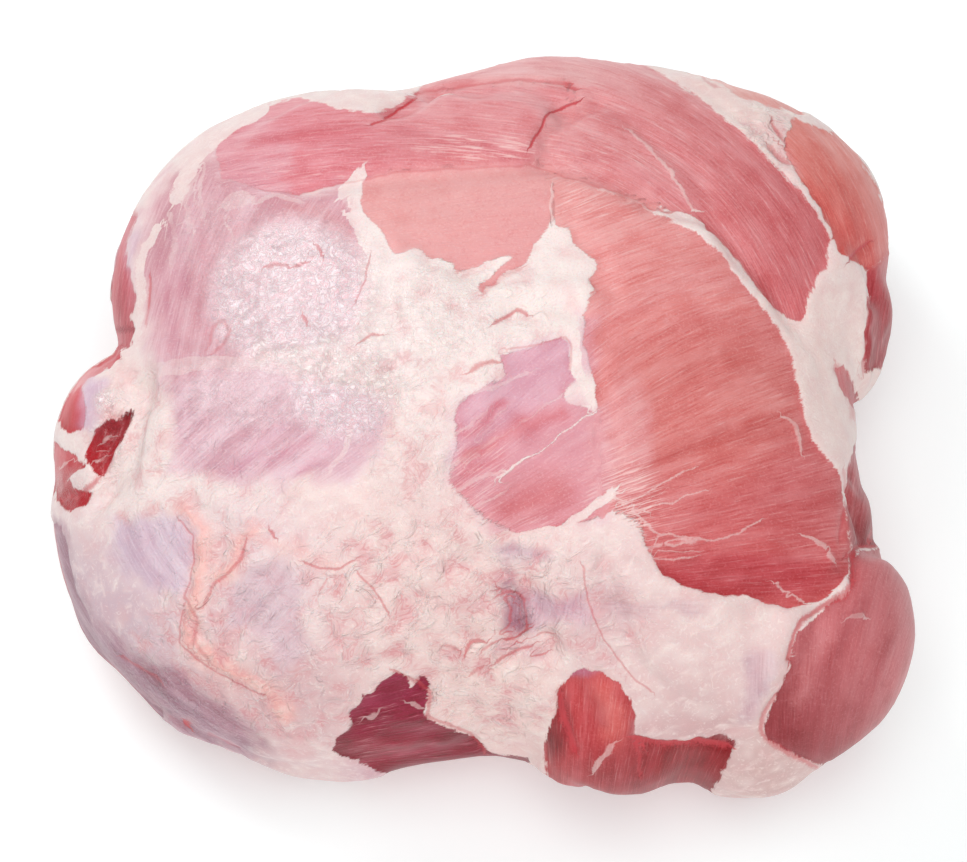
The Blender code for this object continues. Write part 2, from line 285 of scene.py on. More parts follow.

# Fat lines so thin that the meat shows through, some of them painted glints, and how much of the
# meat they cover
THIN_FAT_LINES = {
    # The seam branch is partly painted glints; the window glint and the window upper glint are
    # painted highlights.
    "seam branch": (((692, 208), (680, 187), (668, 170), (650, 150), (630, 132)), 1.5),
    "window glint": (((462, 468), (472, 461), (482, 455)), 1.0),
    "window upper glint": (((476, 436), (492, 420), (506, 407)), 0.8),
    "window streak": (((486, 446), (520, 424), (560, 396)), 0.9),
    "window low strand": (((612, 492), (640, 516), (668, 545)), 1.2),
    "first strand": (((622, 506), (650, 490), (692, 468)), 0.7),
    "second strand": (((626, 514), (665, 504), (706, 490)), 0.7),
    "third strand": (((632, 524), (664, 534), (702, 541)), 0.9),
    "fourth strand": (((640, 556), (668, 560), (694, 556)), 0.8),
    "first finger": (((444, 472), (470, 453), (492, 441)), 2.0),
    "second finger": (((450, 494), (478, 479), (502, 470)), 1.8),
    "third finger": (((446, 442), (468, 426), (486, 412)), 2.0),
    "fourth finger": (((466, 396), (496, 386), (530, 372)), 2.0),
    "fifth finger": (((466, 512), (488, 502), (504, 492)), 1.4),
    "tendon end": (((785, 418), (794, 425), (799, 437), (801, 450)), 1.8),
    "low streak": (((640, 548), (690, 543), (728, 538), (760, 520)), 1.0),
    # The corner gleam is a painted highlight.
    "corner gleam": (((806, 538), (814, 541), (822, 545)), 1.8),
    "corner gleam side": (((828, 554), (831, 560)), 2.0),
    "corner fan": (((774, 584), (788, 592), (802, 603)), 0.9),
    "corner fan side": (((780, 583), (786, 598)), 0.8),
    "knuckle dot": (((853, 618), (860, 617)), 2.5),
    "front tendon": (((594, 768), (603, 757), (614, 746)), 2.6),
    "front left fleck": (((370, 716), (373, 714)), 3.5),
    "front left speck": (((412, 704), (418, 706)), 2.5),
    "oval right edge": (((552, 190), (551, 205), (553, 224)), 1.3),
    "shoulder blotch": (((228, 205), (236, 200), (246, 199)), 7.5),
    "shoulder blotch end": (((258, 202), (270, 196), (298, 200)), 2.6),
    "shoulder third fleck": (((206, 168), (200, 190), (204, 216)), 2.0),
    "shoulder fourth fleck": (((186, 206), (195, 228), (189, 252)), 1.6),
    "shoulder fifth fleck": (((226, 224), (233, 236), (230, 250)), 1.4),
    "shoulder first fleck": (((170, 214), (178, 240), (172, 268)), 2.5),
    "shoulder second fleck": (((196, 176), (186, 200), (188, 226)), 2.5),
    "middle wash": (((150, 372), (210, 362), (270, 366), (320, 380)), 7.0),
    "middle low wash": (((330, 470), (345, 450), (352, 420)), 3.0),
    "seam start": (((600, 189), (625, 198), (655, 212)), 0.9),
    "cavity first fleck": (((103, 441), (110, 437)), 1.3),
    "cavity third fleck": (((97, 462), (103, 458)), 1.3),
    "low meat fleck": (((64, 466), (70, 462)), 1.4),
}
THIN_FAT = 0.45

# Cuts and creases in the picture: line, half width in pixels, redness and depth in millimetres
CREASES = {
    "left cut": (((371, 124), (381, 121), (395, 112), (416, 98)), 1.5, 0.95, 0.5),
    "right cut": (((578, 102), (562, 108), (547, 114), (540, 130), (531, 146)), 1.5, 0.9, 0.5),
    "notch": (((568, 86), (577, 88)), 2.2, 0.7, 0.8),
    "top muscle lower edge": (((262, 190), (300, 194), (345, 183), (400, 172), (470, 168),
                               (530, 165), (600, 187), (655, 211)), 1.1, 0.25, 0.25),
    "back muscle edge": (((415, 93), (430, 90), (470, 84), (520, 79), (570, 83)), 1.8, 0.4, 0.7),
    "plate crease": (((583, 565), (586, 590), (592, 615), (605, 640), (620, 660), (635, 680),
                      (650, 690)), 1.0, 0.4, 0.3),
    "knuckle edge": (((853, 555), (852, 582), (846, 594), (822, 607), (802, 620), (794, 634),
                      (789, 660)), 2.8, 0.7, 1.6),
    "knuckle lower edge": (((776, 694), (764, 712), (760, 730), (768, 742), (795, 757), (815, 766)),
                           2.4, 0.5, 1.2),
    "right edge crease": (((849, 260), (858, 250), (869, 243)), 1.8, 0.8, 0.8),
    "right patch edge": (((869, 268), (869, 300), (868, 332), (863, 372)), 1.8, 0.5, 1.0),
    "patch streak": (((836, 368), (842, 385), (850, 402), (852, 416)), 4.5, 0.45, 0.4),
    "flank crease": (((848, 556), (860, 546), (890, 545)), 2.2, 0.8, 1.2),
    "flank line": (((869, 541), (880, 515)), 1.8, 0.6, 0.8),
    "flank edge": (((843, 470), (846, 500), (840, 540)), 1.8, 0.4, 0.8),
    "front muscle fold": (((561, 696), (562, 715), (568, 732), (574, 748)), 4.5, 0.85, 1.5),
    "front strip fold": (((634, 738), (665, 744), (700, 742), (728, 746)), 3.5, 0.8, 1.2),
    "front ridge": (((634, 742), (640, 756), (640, 772)), 2.5, 0.5, 0.8),
    "front left edge": (((395, 671), (430, 690), (428, 717), (470, 732), (485, 752)),
                        2.2, 0.5, 1.2),
    "crag": (((500, 595), (508, 590), (518, 592), (524, 598)), 1.8, 0.5, 1.8),
    "crag side": (((498, 588), (506, 596), (504, 602)), 1.6, 0.5, 1.4),
    "crag stem": (((506, 600), (511, 610), (510, 620)), 1.6, 0.5, 1.4),
    "crag right side": (((523, 600), (527, 612), (526, 626)), 1.3, 0.35, 1.2),
    "crag crack": (((528, 628), (516, 637), (508, 640)), 1.7, 0.65, 1.2),
    "crag low crack": (((512, 620), (508, 628), (500, 632)), 1.2, 0.45, 0.8),
    "right slit": (((548, 652), (540, 656), (533, 655)), 1.3, 0.5, 1.0),
    "middle slit": (((531, 645), (519, 650), (503, 656), (496, 662)), 1.6, 0.55, 1.2),
    "slit above": (((500, 640), (490, 643), (482, 650)), 1.2, 0.45, 0.8),
    "slit beside": (((536, 636), (545, 632), (552, 634)), 1.2, 0.4, 0.8),
    "left slit": (((467, 650), (470, 642), (480, 640)), 2.6, 0.6, 1.2),
    "left small slit": (((448, 646), (455, 648)), 2.4, 0.4, 0.8),
    "low slit": (((472, 672), (482, 668)), 2.0, 0.4, 0.8),
    "finger slit": (((484, 291), (502, 277), (520, 268)), 3.0, 0.3, 0.4),
    "window nick": (((495, 324), (508, 317), (518, 310), (526, 314)), 2.2, 0.6, 0.2),
    "window edge": (((506, 349), (522, 348), (550, 341), (566, 337), (572, 346), (571, 368)),
                    1.2, 0.3, 0.2),
    "window low slit": (((470, 372), (484, 364), (496, 362)), 2.4, 0.5, 0.2),
    "shoulder crease": (((370, 259), (365, 280), (355, 303)), 1.2, 0.45, 0.3),
    "middle crease": (((361, 343), (369, 336), (380, 336)), 1.6, 0.5, 0.2),
    "red vessel": (((359, 575), (375, 591), (387, 611)), 1.2, 0.45, 0.2),
    "left vessel": (((306, 563), (319, 568), (341, 569), (354, 561)), 1.3, 0.5, 0.2),
    "left vessel bend": (((328, 580), (319, 590)), 1.2, 0.3, 0.2),
    # Painted shade along the sides of the raised left tendon, drawn as red creases.
    "string edge": (((246, 541), (243, 560), (230, 574), (213, 588), (206, 604)), 1.6, 0.45, 0.5),
    "string left side": (((180, 520), (193, 536), (195, 563), (187, 592), (182, 616),
                          (181, 640), (196, 657), (218, 671), (240, 683), (264, 695)),
                         1.1, 0.4, 0.5),
    "string notch": (((272, 532), (274, 535)), 2.0, 0.6, 0.6),
    "rim first spot": (((151, 276), (149, 302)), 1.7, 0.55, 0.3),
    "rim second spot": (((149, 306), (148, 324)), 1.4, 0.35, 0.3),
    "shoulder first red": (((268, 268), (276, 264), (284, 266)), 2.2, 0.5, 0.0),
    "shoulder second red": (((296, 266), (304, 264)), 2.4, 0.6, 0.0),
    "shoulder third red": (((305, 318), (306, 321)), 2.4, 0.6, 0.0),
    "shoulder fourth red": (((319, 250), (321, 254)), 2.4, 0.6, 0.0),
    "shoulder oval": (((214, 352), (224, 344), (230, 330), (224, 320), (214, 326), (210, 344)),
                      2.0, 0.3, 0.2),
    "low drop": (((186, 722), (188, 724)), 3.0, 0.95, 0.0),
    "pocket hollow": (((118, 419), (126, 422), (112, 446), (104, 470)), 6.5, 0.3, 2.4),
    "pocket fold": (((120, 352), (108, 357), (98, 363)), 3.0, 0.7, 1.0),
    "pocket low line": (((98, 480), (82, 494), (66, 498)), 3.0, 0.6, 0.8),
    "low left crease": (((122, 657), (140, 668), (160, 681)), 1.8, 0.4, 0.8),
    "low left streak": (((208, 734), (224, 742), (240, 748)), 1.6, 0.3, 0.8),
    "left rim": (((136, 215), (122, 250), (113, 290), (117, 340)), 3.5, 0.5, 0.0),
    "gristle fold": (((768, 150), (778, 158), (788, 163)), 3.0, 0.45, 0.9),
    "gristle nick": (((772, 124), (777, 132), (784, 141)), 2.5, 0.6, 0.8),
    "strip nick": (((703, 80), (710, 86), (716, 88)), 2.2, 0.4, 0.5),
    "tendon shade": (((190, 600), (200, 618), (196, 640), (214, 660)), 2.2, 0.3, 0.4),
}

# Line of the tendon at the left, raised and orange pink
LEFT_TENDON = ((188, 512), (203, 533), (206, 563), (198, 593), (193, 616), (190, 638),
               (203, 649), (223, 661), (239, 672), (266, 684))

# Raised strings and lumps of fat: line, half width in pixels and height in millimetres
STRINGS = {
    "left tendon": (LEFT_TENDON, 6.0, 1.9),
    "left tendon second strand": (((200, 515), (214, 536), (215, 566), (206, 592), (201, 616),
                                   (198, 636), (212, 650), (232, 664), (262, 690)), 3.0, 1.3),
    "low strand": (((236, 676), (262, 700), (276, 720)), 4.0, 0.8),
    "low second strand": (((262, 684), (284, 712), (296, 740)), 4.0, 0.8),
    "left tendon branch": (((215, 530), (238, 540), (238, 560), (224, 576), (208, 592)), 4.5, 0.8),
    "plate lip": (((640, 545), (662, 578), (692, 592), (722, 600), (745, 597), (764, 608),
                   (786, 614), (822, 605), (848, 584)), 5.0, 0.8),
    "front lump": (((480, 712), (505, 722), (530, 716)), 13.0, 1.3),
    "crag lip": (((530, 600), (533, 616), (531, 630)), 2.5, 0.7),
    "pocket sheet lip": (((120, 352), (116, 392), (120, 412), (134, 411), (122, 440), (107, 470),
                          (92, 497)), 4.0, 1.2),
    "right strip ridge": (((700, 82), (735, 112), (762, 150), (790, 180), (815, 212)), 6.0, 0.6),
}

# Crumbly fat, then wrinkled wet skin, which is glossier and has a painted gleam on it: centre, half
# width and height in pixels, strength
CRUMBLY = {
    "front fat": ((440, 600), (190, 105), 1.0),
    "front lump": ((485, 700), (80, 50), 1.0),
    "low front": ((300, 690), (120, 70), 0.7),
    "centre fat": ((470, 330), (110, 110), 0.45),
    "middle band": ((405, 440), (50, 110), 0.6),
    "back strip": ((770, 150), (45, 60), 0.7),
    "left string": ((225, 600), (75, 85), 0.9),
    "left": ((190, 470), (130, 120), 0.6),
    "lower left": ((230, 670), (130, 80), 0.8),
    "plate left": ((600, 620), (60, 60), 0.6),
    "whole": ((480, 440), (420, 360), 0.22),
}
CRINKLED = {
    "gleam": ((292, 296), (100, 90), 1.0),
    "pocket cavity": ((108, 446), (20, 32), 0.8),
    "pocket gloss": ((106, 404), (12, 16), 1.0),
    "pocket low meat": ((72, 488), (18, 24), 0.7),
    "below gleam": ((345, 390), (70, 60), 0.9),
    "centre": ((430, 320), (70, 60), 0.5),
    "middle": ((420, 480), (60, 80), 0.4),
    "left": ((270, 390), (110, 50), 0.55),
    "upper left": ((225, 240), (80, 60), 0.5),
}

# Pale film between the fibres and glints along them: centre, half sizes, strength
FILMS = {
    "strands beside the window": ((622, 505), (46, 62), 0.9),
    "strands below": ((600, 560), (60, 26), 0.6),
    "window rim": ((478, 470), (34, 70), 0.8),
    "window low rim": ((545, 530), (70, 22), 0.7),
    "window upper rim": ((500, 375), (40, 22), 0.5),
    "front left rim": ((365, 700), (30, 60), 0.25),
    "upper end of the main muscle": ((590, 200), (60, 22), 0.5),
    "top glints": ((480, 148), (80, 16), 0.8),
    "left glints": ((330, 165), (70, 18), 0.4),
    "back glints": ((600, 160), (60, 14), 0.4),
}

# Fat colours: colour and weight of the rest, then centre, reach in pixels and colour
FAT_REST = (233, 211, 208)
FAT_REST_WEIGHT = 0.35
FAT_TONES = {
    "centre white": ((470, 290), 130, (241, 229, 225)),
    "plate": ((690, 650), 90, (221, 190, 188)),
    # Painted shade on the low front of the plate.
    "plate low": ((690, 722), 38, (192, 148, 150)),
    "plate left": ((600, 615), 40, (202, 162, 168)),
    "right patch": ((835, 370), 75, (236, 211, 205)),
    "front right end": ((770, 775), 48, (188, 144, 140)),
    "front": ((430, 620), 110, (229, 197, 193)),
    "low left": ((235, 600), 75, (216, 192, 200)),
    "left": ((150, 470), 70, (233, 217, 214)),
    "left string": ((205, 575), 34, (238, 190, 180)),
    "left string low": ((225, 665), 34, (232, 180, 174)),
    "front lump": ((500, 700), 60, (236, 203, 196)),
    # Painted shade on the left edge, low left edge, low shade and below the front left muscle, where
    # the low sides turn from the light; the gleam tone is a painted highlight.
    "left edge": ((95, 620), 70, (193, 160, 176)),
    "low left edge": ((180, 705), 40, (178, 142, 158)),
    "low shade": ((300, 700), 60, (203, 158, 163)),
    "below the front left muscle": ((378, 776), 28, (190, 132, 152)),
    "gleam": ((300, 290), 80, (238, 225, 226)),
    "back strip": ((740, 110), 60, (234, 212, 206)),
}

# Meat tones over the muscles: centre, half sizes, colour and strength
MEAT_TONES = {
    "deep low end": ((745, 576), (110, 26), (188, 68, 76), 0.85),
    "low middle": ((800, 500), (60, 60), (206, 112, 114), 0.6),
    "middle": ((700, 400), (110, 90), (214, 122, 118), 0.8),
    "beside the window": ((625, 440), (30, 70), (226, 160, 162), 0.7),
    "right end of the seam": ((540, 76), (60, 14), (228, 176, 176), 0.6),
    "window oval": ((535, 497), (45, 32), (208, 112, 118), 0.9),
    "upper left": ((620, 250), (60, 50), (224, 144, 142), 0.6),
    # Painted shade: the front dark tone in the recessed front strip under the plate, and the front
    # fold tone in the fold beside the front middle muscle.
    "front dark": ((696, 766), (62, 28), (146, 8, 18), 0.9),
    "front fold": ((557, 722), (15, 40), (136, 14, 22), 0.9),
    "front lilac top": ((578, 670), (22, 8), (190, 120, 146), 0.7),
    "front left dark": ((460, 745), (34, 14), (132, 10, 36), 0.8),
    "front left deep": ((375, 755), (34, 18), (150, 10, 44), 0.6),
}

# Soft streaks of another colour: line, half width in pixels, colour and strength
STREAKS = {
    "low edge shade": (((62, 540), (72, 590), (96, 635), (130, 672), (170, 700), (222, 738),
                        (270, 760)), 9, (160, 124, 140), 0.5),
    "left string": ((*LEFT_TENDON, (290, 715)), 9, (238, 180, 172), 0.9),
    "left string branch": (((256, 532), (243, 545), (238, 560), (222, 578)),
                           8, (238, 182, 174), 0.8),
    "left string side": (((262, 540), (300, 552), (336, 566)), 7, (234, 182, 176), 0.5),
    "low strands": (((262, 690), (284, 716), (300, 745)), 12, (224, 168, 170), 0.5),
    # Painted shade from the low edge line to the strip shade: a line at the low edge, lilac shade
    # round the crag and in the fold below the plate, and shade at the side and low end of the plate
    # and on the back strip.
    "low edge line": (((118, 655), (150, 674), (190, 700)), 4, (148, 94, 110), 0.5),
    "above the crag": (((496, 553), (541, 556)), 6, (192, 154, 170), 0.6),
    "crag shade": (((506, 584), (514, 600), (518, 622)), 13, (158, 90, 114), 0.85),
    "crag low shade": (((500, 650), (520, 646), (540, 652)), 9, (204, 150, 160), 0.6),
    "beside the crag": (((540, 604), (584, 608)), 9, (196, 158, 172), 0.6),
    "plate low shade": (((640, 728), (690, 730), (730, 722)), 10, (202, 160, 160), 0.6),
    "plate side shade": (((752, 660), (758, 690), (750, 712)), 9, (196, 158, 168), 0.6),
    "strip shade": (((690, 80), (735, 104), (765, 128)), 7, (226, 172, 170), 0.3),
    "gristle": (((760, 130), (776, 150), (792, 166)), 9, (220, 156, 160), 0.4),
    "knuckle first": (((862, 600), (838, 650), (820, 705)), 7, (172, 78, 84), 0.5),
    "knuckle second": (((890, 640), (870, 690), (846, 730)), 7, (174, 82, 88), 0.5),
    "knuckle pale": (((820, 640), (806, 676), (800, 700)), 8, (206, 130, 132), 0.4),
    # Painted highlights: a brighter red streak on the front left muscle and a paler streak on the
    # front middle muscle.
    "front left red": (((372, 744), (400, 750), (430, 742)), 9, (160, 18, 50), 0.5),
    "front middle pale": (((600, 690), (615, 712), (612, 732)), 12, (226, 112, 106), 0.7),
    "main first": (((630, 330), (700, 296), (752, 312)), 11, (228, 146, 142), 0.5),
    "main second": (((640, 474), (720, 430), (790, 432)), 9, (198, 100, 98), 0.45),
    "main third": (((680, 528), (760, 496), (830, 506)), 8, (194, 86, 88), 0.45),
    "main fourth": (((650, 396), (720, 360), (776, 372)), 8, (202, 104, 100), 0.4),
    "main fifth": (((612, 296), (680, 254), (724, 268)), 8, (214, 126, 122), 0.4),
    "main sixth": (((660, 430), (730, 398), (790, 404)), 7, (226, 146, 142), 0.4),
    "back first": (((590, 106), (660, 138), (724, 200)), 8, (212, 126, 130), 0.5),
    "back second": (((650, 90), (720, 138), (784, 212)), 8, (206, 112, 116), 0.5),
    "back third": (((560, 150), (620, 165), (684, 200)), 6, (204, 114, 120), 0.5),
    "back fourth": (((430, 90), (500, 68), (560, 62)), 6, (214, 128, 132), 0.5),
    "top first": (((256, 142), (330, 130), (384, 140)), 9, (212, 114, 124), 0.5),
    "top second": (((400, 132), (460, 142), (524, 156)), 8, (202, 100, 110), 0.5),
    "top third": (((300, 176), (340, 168), (380, 160)), 6, (206, 110, 118), 0.4),
    "window first": (((462, 434), (484, 422), (506, 406)), 6, (212, 122, 136), 0.8),
    "window second": (((468, 456), (500, 438), (530, 424), (562, 412)), 9, (208, 112, 122), 0.85),
    "window third": (((464, 476), (486, 466), (506, 456)), 6, (208, 116, 128), 0.8),
    "window oval": (((508, 516), (530, 500), (560, 488)), 17, (205, 112, 118), 0.85),
    "middle first": (((300, 470), (330, 446), (362, 420)), 7, (206, 140, 160), 0.5),
    "middle second": (((270, 466), (300, 440), (330, 416)), 5, (208, 146, 164), 0.5),
    "middle third": (((230, 470), (262, 446), (282, 424)), 5, (208, 150, 170), 0.5),
    "shoulder first": (((196, 210), (204, 262), (206, 330)), 8, (210, 142, 156), 0.6),
    "shoulder second": (((164, 250), (166, 300), (176, 350)), 6, (208, 146, 162), 0.5),
    "shoulder third": (((236, 204), (240, 230), (232, 262)), 7, (214, 150, 160), 0.5),
    "shoulder sixth": (((178, 230), (183, 262), (184, 292)), 9, (200, 126, 146), 0.5),
    "shoulder fourth": (((290, 208), (320, 214), (346, 236)), 8, (218, 156, 160), 0.5),
}

# Shifts that make one noise unlike the next, in millimetres
ACROSS_SHIFT = np.array([5.0, 60.0, 2.0])
DOWN_SHIFT = np.array([80.0, 3.0, 40.0])
CLOUD_SHIFT = np.array([9.0, 4.0, 1.0])
PATCH_SHIFT = np.array([70.0, 20.0, -40.0])
PATCH_EDGE_SHIFT = np.array([20.0, 90.0, 10.0])
LUMP_SHIFT = np.array([31.0, 7.0, 19.0])
CRINKLE_SHIFT = np.array([3.0, 50.0, 8.0])

# How far the drawn edges wander, in millimetres: fine and broad, with their spacing
FINE_WANDER = (1.3, 4.2)
BROAD_WANDER = (2.6, 12.0)

# Share of the fine wander that the fibres follow
FIBRE_WANDER = 0.15

# Fibres of the meat under the fat, with the place that they are measured from
REST_GRAIN = (FAN, (-300, 900))
REST_GRAIN_START = (300, 500)

# Fibres at the top of the main muscle: start, and the heights between which they turn
UPPER_MAIN_GRAIN = (FAN, (60, 400))
MAIN_GRAIN_TURN = ((670, 310), 200, 420)

# How far fibres run on past an outline, and how softly colours change there, in pixels
FIBRE_REACH = 14.0
VEIL_FIBRE_REACH = 10.0
MUSCLE_SOFTNESS = 2.5
VEIL_SOFTNESS = 5.0

# Depths inside a muscle's outline, in pixels and negative outside it, between which these set
# in: the plain rim of the edge muscles, the join of two muscles, level fat and calmer fibres
RIM_EASE = (-16.0, 0.0)
JOIN_EASE = (-14.0, -8.0)
FLUSH_EASE = (-14.0, -6.0)
CALM_EASE = (-1.0, 4.0)

# How much deeper in one muscle than in the next a place is, in pixels, where a join sets in
JOIN_GAP = (7.0, 3.0)

# Least half width of a groove in the skin, in pixels
LEAST_GROOVE = 3.4

# How squarely the skin faces the eye where it starts to be seen and where it is fully seen
SEEN_FACING = (-0.02, 0.1)
WIDELY_SEEN_FACING = (-0.3, -0.14)

# Unevenness of the rim that is widely seen: strength and spacing in millimetres
RAGGED_RIM = ((0.34, 24.0), (0.12, 8.0))

# Heights on the finished skin, in millimetres
FAT_STEP = 0.9
LUMP_HEIGHT = 0.84
WIDE_LUMP_HEIGHT = 0.6
SMALL_LUMP_HEIGHT = 0.45
BUNDLE_HEIGHT = 0.4
CRINKLE_HEIGHT = 0.4

# Finish of the sides and underside, which the eye doesn't see: colours, spacing of the patches
# and radius of the fibres round the side in millimetres, and strengths of the other marks
HIDDEN_MEAT = (206, 128, 130)
HIDDEN_DEEP_MEAT = (186, 98, 104)
HIDDEN_FAT = (226, 200, 197)
HIDDEN_VEIL = (216, 176, 184)
BROAD_PATCHES = 46.0
MIDDLE_PATCHES = 21.0
PATCH_EDGES = 5.0
SIDE_RADIUS = 150.0
HIDDEN_SHARES = {"crumb": 0.45, "wet": 0.15, "film": 0.1, "flush": 0.7, "veil_body": 0.6}

# Marks that the material reads from the skin
KEPT_VALUES = ("bare", "veil", "crumb", "wet", "film", "join", "bundles", "blood", "seam",
               "seam_half", "seam_on", "cut", "veil_body", "cloud", "mist", "lumps")
KEPT_COLOURS = ("veil_tone", "meat", "fat")

# Fineness of the material's patterns, and how the flakes of the fat lean
SPECKS_A_METRE = 1150.0
WRINKLES_A_METRE = 370.0
FLAKES_A_METRE = (120.0, 190.0, 190.0)
FLAKE_LEAN = math.radians(35)
THREADS_A_MILLIMETRE = (0.08, 1.25, 0.0)

# Tones laid thinly over the muscle, fat and membrane. The film also paints glints along the fibres.
# The highlight tones and the gleam on the membrane are painted highlights on lumps, folds, wrinkles
# and wet membrane. The hollow and the lines in the fat and membrane are painted shade in the
# creases.
TONES = {
    "film": (242, 206, 202),
    "top of a lump": (248, 238, 231),
    "top of a fold": (247, 232, 226),
    "pink speck": (222, 176, 176),
    "pink cloud": (228, 188, 186),
    "hollow": (222, 170, 172),
    "line in the fat": (206, 128, 132),
    "wet line in the fat": (214, 154, 162),
    "top of a wrinkle": (249, 240, 235),
    "pale speck": (240, 224, 228),
    "wet membrane": (247, 234, 238),
    "wet line in the membrane": (208, 140, 154),
    "blood": (200, 66, 74),
}

# Fine relief of the material, in millimetres
THREAD_HEIGHT = 0.42
WRINKLE_HEIGHT = 0.26
FOLD_HEIGHT = 0.95
CUT_DEPTH = 0.25

# Moist surface: roughness, what wetness takes from it, and coat where dry and wet
FAT_ROUGHNESS = 0.44
MEAT_ROUGHNESS = 0.4
WET_GLOSS = 0.14
MOIST_COAT = (0.06, 0.8)
MOIST_SURFACE = {
    "Coat Roughness": 0.14,
    "Coat IOR": 1.36,
    "Specular IOR Level": 0.34,
    "Specular Tint": (1.0, 0.88, 0.88, 1.0),
    "Subsurface Weight": 0.15,
    "Subsurface Radius": (1.0, 0.35, 0.25),
    "Subsurface Scale": 0.003,
}

# White floor, a little lit from within so that it stays white in the picture
FLOOR_SURFACE = {
    "Base Color": (0.75, 0.80, 0.80, 1.0),
    "Emission Color": (1.0, 1.0, 1.0, 1.0),
    "Emission Strength": 0.3,
    "Roughness": 0.9,
    "Specular IOR Level": 0.1,
}

# Soft lamps: name, place, size in metres and power in watts, and where they all point
LAMPS = (
    ("window", (-0.72, 0.74, 1.2), 0.7, 8.5),
    ("top panel", (0.0, -0.2, 1.9), 1.2, 13.0),
    ("front fill", (0.35, -1.5, 0.9), 1.2, 9.0),
)
LAMPS_AIM = Vector((0.0, 0.0, 0.06))
SENSOR_WIDTH = 36.0


def linear(colour):
    """Linear colour of an 8-bit screen colour."""
    share = np.asarray(colour, dtype=float) / 255
    return np.where(share <= 0.04045, share / 12.92, ((share + 0.055) / 1.055) ** 2.4)


def mixed(first, second, share):
    """Colours of two arrays, mixed by a share at each point."""
    share = share[:, None]
    return first * (1 - share) + second * share


def eased(start, end, values):
    """Smooth change from 0 at one value to 1 at another, which may be the smaller one."""
    share = np.clip((values - start) / (end - start), 0, 1)
    return share * share * (3 - 2 * share)


def speckle(points, spacing):
    """Soft noise between -1 and 1 at points in millimetres, the same on every run."""
    return np.array([noise.noise(Vector(point) / spacing) for point in points])


def in_picture(points):
    """Picture pixels of points in metres."""
    offset = points - np.array(LOOKS_AT)
    nearness = EYE_DISTANCE / (EYE_DISTANCE - offset @ np.array(TO_EYE))
    scale = nearness * PICTURE_WIDTH / VIEW_WIDTH
    across = PICTURE_WIDTH / 2 + offset @ np.array(PICTURE_RIGHT) * scale
    down = PICTURE_HEIGHT / 2 - offset @ np.array(PICTURE_UP) * scale
    return np.stack([across, down], axis=1)


def line_distance(places, line, closed=False):
    """Distance from every place to a line of straight pieces."""
    corners = [np.array(corner, dtype=float) for corner in line]
    if closed:
        corners.append(corners[0])
    nearest = np.full(len(places), FAR_OFF)
    for start, end in zip(corners, corners[1:]):
        along = end - start
        share = np.clip((places - start) @ along / (along @ along), 0, 1)
        gap = places - start - share[:, None] * along
        nearest = np.minimum(nearest, np.hypot(gap[:, 0], gap[:, 1]))
    return nearest


def line_side(places, line):
    """1 on the left of the nearest piece of a line and -1 on its right."""
    nearest = np.full(len(places), FAR_OFF)
    side = np.ones(len(places))
    for start, end in zip(line, line[1:]):
        gap = line_distance(places, (start, end))
        turn = ((end[0] - start[0]) * (places[:, 1] - start[1])
                - (end[1] - start[1]) * (places[:, 0] - start[0]))
        closer = gap < nearest
        side = np.where(closer, np.where(turn < 0, 1.0, -1.0), side)
        nearest = np.minimum(nearest, gap)
    return side


def inside_depth(places, outline):
    """Distance to a closed outline, positive inside it."""
    inside = np.zeros(len(places), dtype=bool)
    for start, end in zip(outline, outline[1:] + outline[:1]):
        crosses = (start[1] > places[:, 1]) != (end[1] > places[:, 1])
        rise = (end[1] - start[1]) or 1e-9
        meeting = start[0] + (places[:, 1] - start[1]) * (end[0] - start[0]) / rise
        inside ^= crosses & (places[:, 0] < meeting)
    gap = line_distance(places, outline, closed=True)
    return np.where(inside, gap, -gap)


def soft_patch(places, centre, halves):
    """1 in the middle of an oval patch of the picture, falling to 0 beyond its edge."""
    away = np.hypot((places[:, 0] - centre[0]) / halves[0], (places[:, 1] - centre[1]) / halves[1])
    return eased(1.25, 0.55, away)


def strongest(places, patches):
    """Strongest of several soft patches at each place."""
    most = np.zeros(len(places))
    for centre, halves, strength in patches.values():
        most = np.maximum(most, strength * soft_patch(places, centre, halves))
    return most


def grain_at(places, grain, start):
    """Distances along and across the fibres from a start, in millimetres."""
    kind, pole = grain
    away_x = places[:, 0] - pole[0]
    away_y = pole[1] - places[:, 1]
    typical = math.hypot(start[0] - pole[0], start[1] - pole[1])
    radius = np.hypot(away_x, away_y) - typical
    turn = np.arctan2(away_y, away_x) - math.atan2(pole[1] - start[1], start[0] - pole[0])
    if kind == FAN:
        return np.stack([radius, turn * typical], axis=1) * PIXEL
    return np.stack([turn * typical, radius], axis=1) * PIXEL


def copied_skin():
    """A fine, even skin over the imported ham."""
    source = bpy.data.objects["ham"]
    shape = bmesh.new()
    shape.from_mesh(source.data)
    bmesh.ops.remove_doubles(shape, verts=shape.verts[:], dist=0.00001)
    mesh = bpy.data.meshes.new("skin")
    shape.to_mesh(mesh)
    shape.free()
    body = bpy.data.objects.new("skin", mesh)
    bpy.context.scene.collection.objects.link(body)
    weave = body.modifiers.new("even grid", "REMESH")
    weave.mode = "VOXEL"
    weave.voxel_size = SKIN_GRID
    soften = body.modifiers.new("soften", "SMOOTH")
    soften.factor = 0.5
    soften.iterations = 6
    graph = bpy.context.evaluated_depsgraph_get()
    skin = bpy.data.meshes.new_from_object(body.evaluated_get(graph))
    bpy.data.objects.remove(body)
    return skin


def points_of(mesh):
    """Places of a mesh's points, in metres."""
    flat = np.empty(len(mesh.vertices) * 3)
    mesh.vertices.foreach_get("co", flat)
    return flat.reshape(-1, 3)


def normals_of(mesh):
    """Outward directions at a mesh's points."""
    flat = np.empty(len(mesh.vertices) * 3)
    mesh.vertex_normals.foreach_get("vector", flat)
    return flat.reshape(-1, 3)


